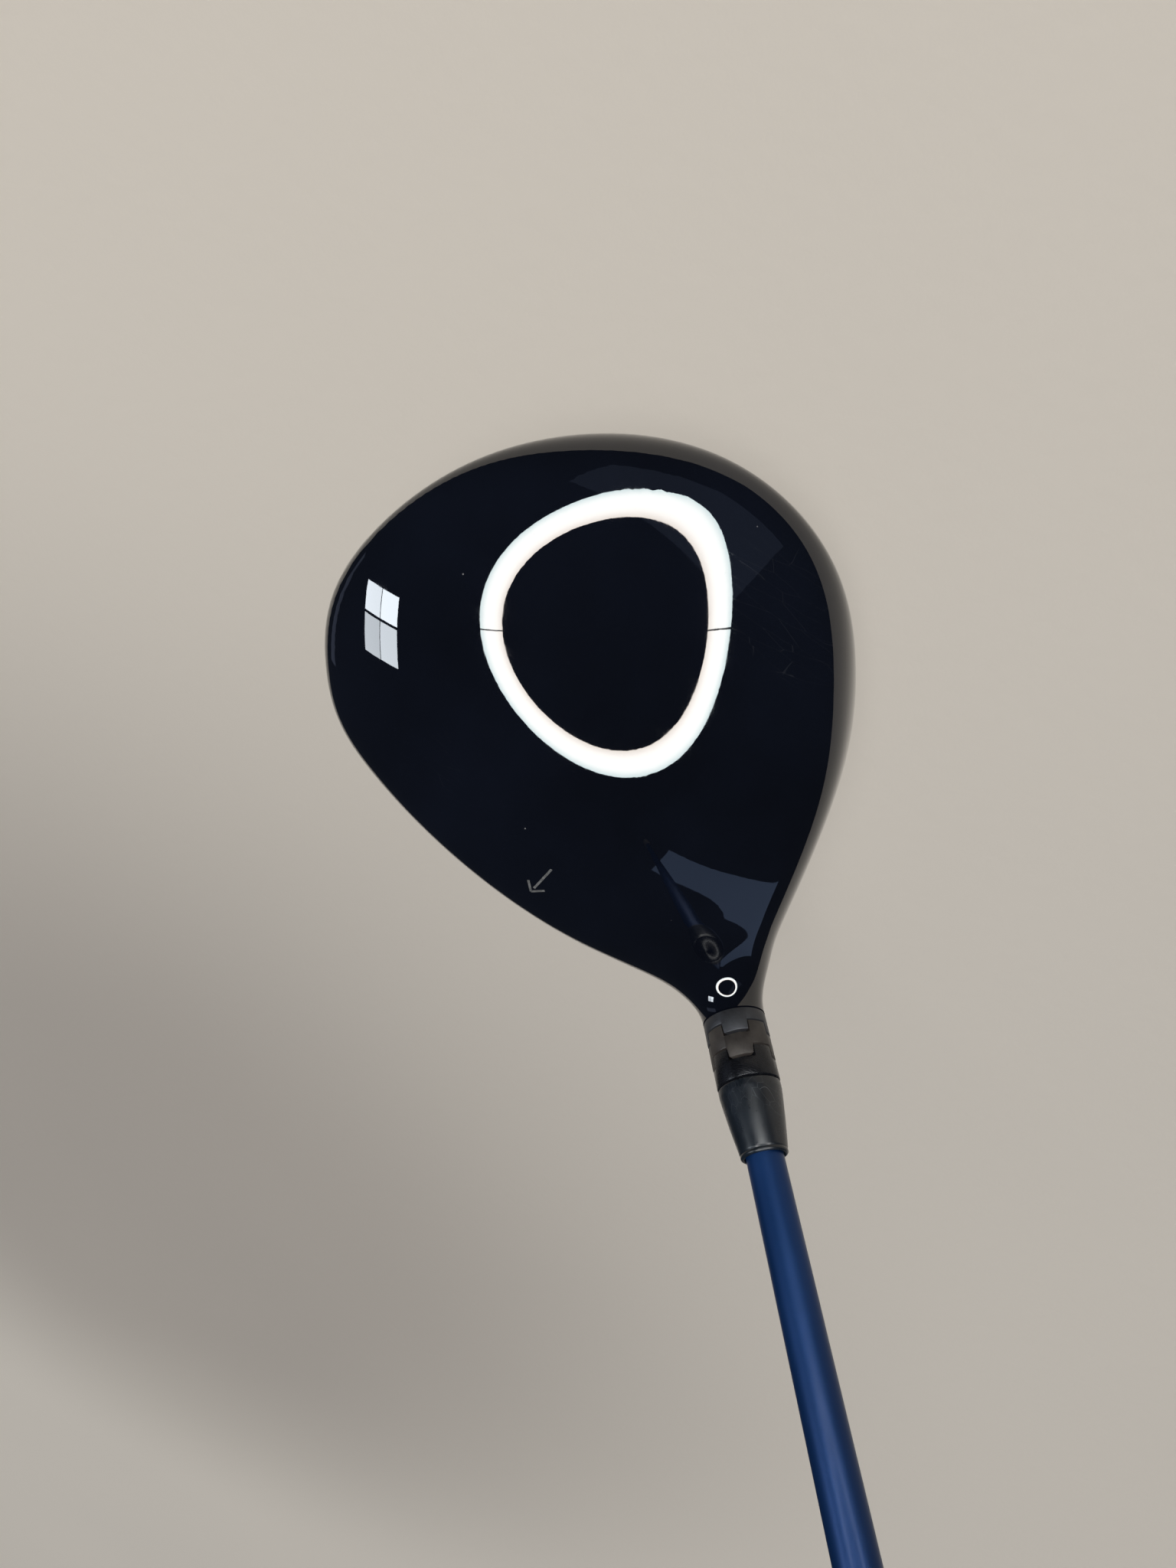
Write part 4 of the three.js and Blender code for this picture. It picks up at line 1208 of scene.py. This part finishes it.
cap_low, cap_high = span("grip_cap")
cap_radius, vent = reach("grip_cap"), bore("grip_cap")
cap_profile = [
    (vent, cap_low),
    (cap_radius - 0.25 * MM, cap_low),
    (cap_radius, cap_low + 0.6 * MM),
    (cap_radius, cap_high - 1.3 * MM),
    (cap_radius - 0.4 * MM, cap_high - 0.4 * MM),
    (cap_radius - 1.3 * MM, cap_high),
    (10.2 * MM, cap_high),
    (10.0 * MM, cap_high - 0.4 * MM),
    (9.2 * MM, cap_high - 0.4 * MM),
    (9.0 * MM, cap_high),
    (vent + 0.5 * MM, cap_high),
    (vent, cap_high - 0.5 * MM),
]
lathe_piece(
    "grip_end_cap", cap_profile, "shaft_assembly", look["cap"], "cap_rubber", "grip_cap", round_by=0.3 * MM
)


# ---------------------------------------------------------------- screws
def socket_cutter(radius, depth, matrix, low):
    """Six-lobed socket."""
    angle = 2 * np.pi * np.arange(72) / 72
    r = radius * (0.88 + 0.12 * np.cos(6 * angle))
    outline = np.stack([r * np.cos(angle), r * np.sin(angle)], axis=1)
    return outward(placed(prism("socket", outline, low - MM, low + depth), matrix))


SOCKET_DEPTH = 2.2 * MM
THREAD = {"pitch": 0.8 * MM, "depth": 0.16 * MM}


def screw_piece(name, node, material, slot, matrix, origin, axis, thick, dish, dish_radius, stem, socket):
    """A turned screw: flanged head with a recessed face, stem with thread grooves, lobed socket."""
    low, high = span(node, origin, axis)
    radius = reach(node, origin=origin, axis=axis)
    shoulder, pitch = low + thick, THREAD["pitch"]
    profile = [(0, low + dish), (dish_radius, low + dish), (dish_radius + 0.3 * MM, low)]
    profile += [(radius - 0.5 * MM, low), (radius, low + 0.5 * MM), (radius, shoulder), (stem, shoulder)]
    place = shoulder + 1.2 * MM
    while place + pitch < high - 0.7 * MM:
        profile += [(stem, place), (stem - THREAD["depth"], place + pitch * 0.5)]
        place += pitch
    profile += [(stem, high - 0.6 * MM), (stem - 0.6 * MM, high), (0, high)]
    mesh = placed(outward(lathe_mesh(name, profile, 72, closed=False)), matrix)
    mesh = combine(mesh, "DIFFERENCE", socket_cutter(socket, SOCKET_DEPTH, matrix, low + dish))
    shade(mesh, 30)
    return make_piece(name, mesh, node, material, slot, node)


screw_piece(
    "hosel_bolt", "hosel_screw", look["titanium"], "titanium_bolt", HOSEL, FOOT, UP_SHAFT,
    thick=3.7 * MM, dish=0.3 * MM, dish_radius=2.9 * MM, stem=2.5 * MM, socket=2.35 * MM,
)
screw_piece(
    "sole_weight_screw", "rear_weight", look["steel"], "weight_steel", WEIGHT, WEIGHT_POINT, WEIGHT_IN,
    thick=3.1 * MM, dish=0.5 * MM, dish_radius=5.2 * MM, stem=4.1 * MM, socket=2.75 * MM,
)

# ---------------------------------------------------------------- CAD pieces that stay
KEPT = {
    "hot_melt_pad": "hot_melt",
    "screw_retainer": "nylon",
    "hosel_screw_washer": "aluminium",
    "rear_weight_washer": "nylon",
    "shaft_tip_plug": "plug",
    "grip_tape": "tape",
}
for node, name in KEPT.items():
    mesh = frame["nodes"][node].data
    mesh.materials.clear()
    mesh.materials.append(look[name])

# ---------------------------------------------------------------- floor, lights and reflections
FLOOR_HALF = 6.0
NEAR_FLOOR_HALF = 0.42  # only this part of the floor shows in the gloss
DOME = {"radius": 5.9, "sunk": 0.05}
PAINTED_SHADE_CENTRE = (-0.03, -0.44, 0.0)  # middle of a painted patch of shade on the floor beside the head
RING_LIGHT = {
    "right": 24.2,
    "down": 40.8,
    "radius": 120.5,
    "half": 14.4,
    "lean_right": 0.047,
    "lean_down": -0.158,
    "gap": 0.006,
    "steps": 90,
}
RING_POWER = 17.5


def emission(name, strength, colour, pattern=None):
    material = bpy.data.materials.new(name)
    material.use_nodes = True
    tree = material.node_tree
    tree.nodes.clear()
    out = tree.nodes.new("ShaderNodeOutputMaterial")
    glow = tree.nodes.new("ShaderNodeEmission")
    glow.inputs["Color"].default_value = (*colour, 1)
    glow.inputs["Strength"].default_value = strength
    tree.links.new(glow.outputs[0], out.inputs[0])
    if pattern:
        pattern(tree, glow)
    return material


def hide_from(piece, *rays):
    """Takes a piece out of the named kinds of ray."""
    for ray in rays:
        setattr(piece, f"visible_{ray}", False)


def only_reflected(piece):
    """A card that shows in gloss and lights nothing."""
    hide_from(piece, "camera", "diffuse", "transmission", "volume_scatter", "shadow")


def stage_object(name, mesh, material):
    made = bpy.data.objects.new(name, mesh)
    mesh.materials.append(material)
    bpy.context.scene.collection.objects.link(made)
    return made


def ring_light():
    """Two half rings round the lens, brighter along their middle line."""
    turn = camera.matrix_world.to_3x3()
    right, down, ahead = turn.col[0], -turn.col[1], -turn.col[2]
    centre = camera.matrix_world.translation + (right * RING_LIGHT["right"] + down * RING_LIGHT["down"]) * MM
    normal = (ahead + right * RING_LIGHT["lean_right"] + down * RING_LIGHT["lean_down"]).normalized()
    u = (right - normal * right.dot(normal)).normalized()
    v = normal.cross(u)
    points, faces = [], []
    steps, gap = RING_LIGHT["steps"], RING_LIGHT["gap"]
    shares = (-1.0, -0.55, 0.0, 0.55, 1.0)
    for half in range(2):
        base = len(points)
        for i in range(steps + 1):
            angle = math.pi * half + gap + (math.pi - 2 * gap) * i / steps
            for share in shares:
                r = (RING_LIGHT["radius"] + RING_LIGHT["half"] * share) * MM
                points.append(centre + (u * math.cos(angle) + v * math.sin(angle)) * r)
        k = len(shares)
        for i in range(steps):
            for c in range(k - 1):
                a = base + i * k + c
                faces.append((a, a + 1, a + k + 1, a + k))
    mesh = mesh_from("ring_light", points, faces)
    tone = mesh.color_attributes.new("tone", "FLOAT_COLOR", "POINT")
    for i in range(len(points)):
        share = shares[i % len(shares)]
        outer_edge, inner_edge = max(share, 0) ** 2, max(-share, 0) ** 2
        dimmed = 1 - 0.30 * outer_edge - 0.26 * inner_edge
        tone.data[i].color = (
            dimmed * (1 - 0.16 * outer_edge),
            dimmed * (0.985 - 0.07 * inner_edge),
            dimmed * (0.96 + 0.04 * outer_edge - 0.12 * inner_edge),
            1,
        )

    def pattern(tree, glow):
        attribute = tree.nodes.new("ShaderNodeVertexColor")
        attribute.layer_name = "tone"
        tree.links.new(attribute.outputs[0], glow.inputs["Color"])

    only_reflected(stage_object("ring_light", mesh, emission("ring_light", RING_POWER, (1, 1, 1), pattern)))


def card(name, centre, along, across, strength, colour, panes=None):
    """Flat reflected card from its middle and its half sides; panes are (u, v, half u, half v, share)."""
    centre, along, across = Vector(centre), Vector(along), Vector(across)
    for k, (u, v, wide, tall, share) in enumerate(panes or [(0, 0, 1, 1, 1)]):
        corners = [(-1, -1), (1, -1), (1, 1), (-1, 1)]
        points = [centre + along * (u + wide * a) + across * (v + tall * b) for a, b in corners]
        mesh = mesh_from(f"{name}_{k}", points, [(0, 1, 2, 3)])
        glow = emission(f"{name}_{k}", strength * share, colour)
        only_reflected(stage_object(f"{name}_{k}", mesh, glow))


def add_light(name, kind, power, colour, shadow, direction, at=(0, 0, 0)):
    data = bpy.data.lights.new(name, kind)
    data.energy = power
    data.color = colour
    data.use_shadow = shadow
    made = bpy.data.objects.new(name, data)
    made.location = at
    made.rotation_euler = Vector(direction).to_track_quat("-Z", "Y").to_euler()
    made.visible_glossy = False
    bpy.context.scene.collection.objects.link(made)
    return data


def lamp(name, at, target, size, power, colour):
    data = add_light(name, "AREA", power, colour, False, Vector(target) - Vector(at), at)
    data.shape = "RECTANGLE"
    data.size, data.size_y = size


def sun(name, direction, strength, colour, shadow):
    add_light(name, "SUN", strength, colour, shadow, direction).angle = math.radians(40)


def square(half):
    return [(-half, -half, 0), (half, -half, 0), (half, half, 0), (-half, half, 0)]


def floor():
    """Matt floor in two parts: the near one shows in the gloss, the far one doesn't. Its colour holds painted
    light: lighter towards one side, with a painted patch of shade beside the head.
    """
    n = Nodes("floor_matt_painted_light", Metallic=0.0)
    n.set(n.shader, "Specular IOR Level", 0.1)
    axes = n.node("ShaderNodeSeparateXYZ", {"Vector": n.place})
    x, y = axes.outputs[0], axes.outputs[1]
    # Painted light: the floor's colour grows lighter towards -x and +y.
    up = n.maths("ADD", n.maths("MULTIPLY", x, -0.74), n.maths("MULTIPLY", y, 0.67))
    tone = n.mix(n.ramp(up, -0.15, 0.25, smooth=True), (0.45, 0.43, 0.40), (0.53, 0.50, 0.455))
    # Painted shade: a soft dark patch on the floor, darkest at its middle beside the head.
    away = n.vector("DISTANCE", n.place, PAINTED_SHADE_CENTRE).outputs["Value"]
    tone = n.mix(n.ramp(away, 0.44, 0.12, 0.0, 0.6, smooth=True), tone, (0.19, 0.175, 0.165))
    tone = n.mix(n.ramp(n.noise(3.0), 0.3, 0.7, 0.0, 0.06), tone, (0.6, 0.56, 0.5))
    material = n.finish(tone, 0.9, n.noise(240.0, 3.0), 0.0002)
    near = square(NEAR_FLOOR_HALF)
    stage_object("floor", mesh_from("floor", near, [(0, 1, 2, 3)]), material)
    sides = [(i, (i + 1) % 4, 4 + (i + 1) % 4, 4 + i) for i in range(4)]
    mesh = mesh_from("far_floor", square(FLOOR_HALF) + near, sides)
    hide_from(stage_object("far_floor", mesh, material), "glossy")


floor()
ring_light()
card(
    "window", (-0.736, -0.329, 0.986), (0.071, 0.055, 0.072), (0.109, -0.160, 0.023), 15.0, (0.86, 0.93, 1.0),
    [
        (-1.15, -0.55, 0.72, 0.42, 0.85),
        (0.35, -0.55, 0.72, 0.42, 1.0),
        (-1.15, 0.45, 0.72, 0.5, 0.55),
        (0.35, 0.45, 0.72, 0.5, 0.7),
    ],
)

dome_angles = np.linspace(0, math.pi / 2, 24)
dome_radius, dome_sunk = DOME["radius"], DOME["sunk"]
dome_profile = [(dome_radius * math.sin(a), dome_radius * math.cos(a) - dome_sunk) for a in dome_angles]
dome_mesh = lathe_mesh("backdrop", dome_profile, 96, closed=False)
shade(dome_mesh, 80)
backdrop = stage_object("backdrop", dome_mesh, emission("backdrop", 1.0, (0.47, 0.455, 0.43)))
hide_from(backdrop, "diffuse", "glossy", "transmission", "shadow")

card("curtain", (1.30, -0.10, 0.95), (0.02, 0.10, 0.0), (-0.25, 0.0, 0.42), 0.55, (0.45, 0.62, 1.0))
card("far_wall", (0.15, 1.7, 1.2), (0.9, 0.0, 0.0), (0.0, -0.10, 0.30), 0.16, (0.55, 0.68, 1.0))
card("cupboard", (-1.5, -0.9, 0.55), (0.30, -0.45, 0.0), (0.0, 0.0, 0.14), 0.30, (0.6, 0.7, 1.0))

world = bpy.data.worlds.new("room")
world.use_nodes = True
world.node_tree.nodes["Background"].inputs[0].default_value = (0.62, 0.72, 0.90, 1)
world.node_tree.nodes["Background"].inputs[1].default_value = 0.03
bpy.context.scene.world = world

sun("even", (0.05, -0.1, -1), 2.35, (1.0, 0.975, 0.94), False)
sun("soft_shadow", (0.1, -0.35, -1), 0.5, (1.0, 0.98, 0.95), True)
lamp("warm_top", (0.05, 1.6, 1.3), (0.05, 0.45, 0), (1.6, 1.0), 9, (1.0, 0.90, 0.80))
lamp("side", (-1.8, -1.2, 1.4), (0.1, 0, 0.2), (1.6, 1.6), 8, (0.93, 0.96, 1.0))
bpy.context.scene.view_settings.view_transform = "Standard"
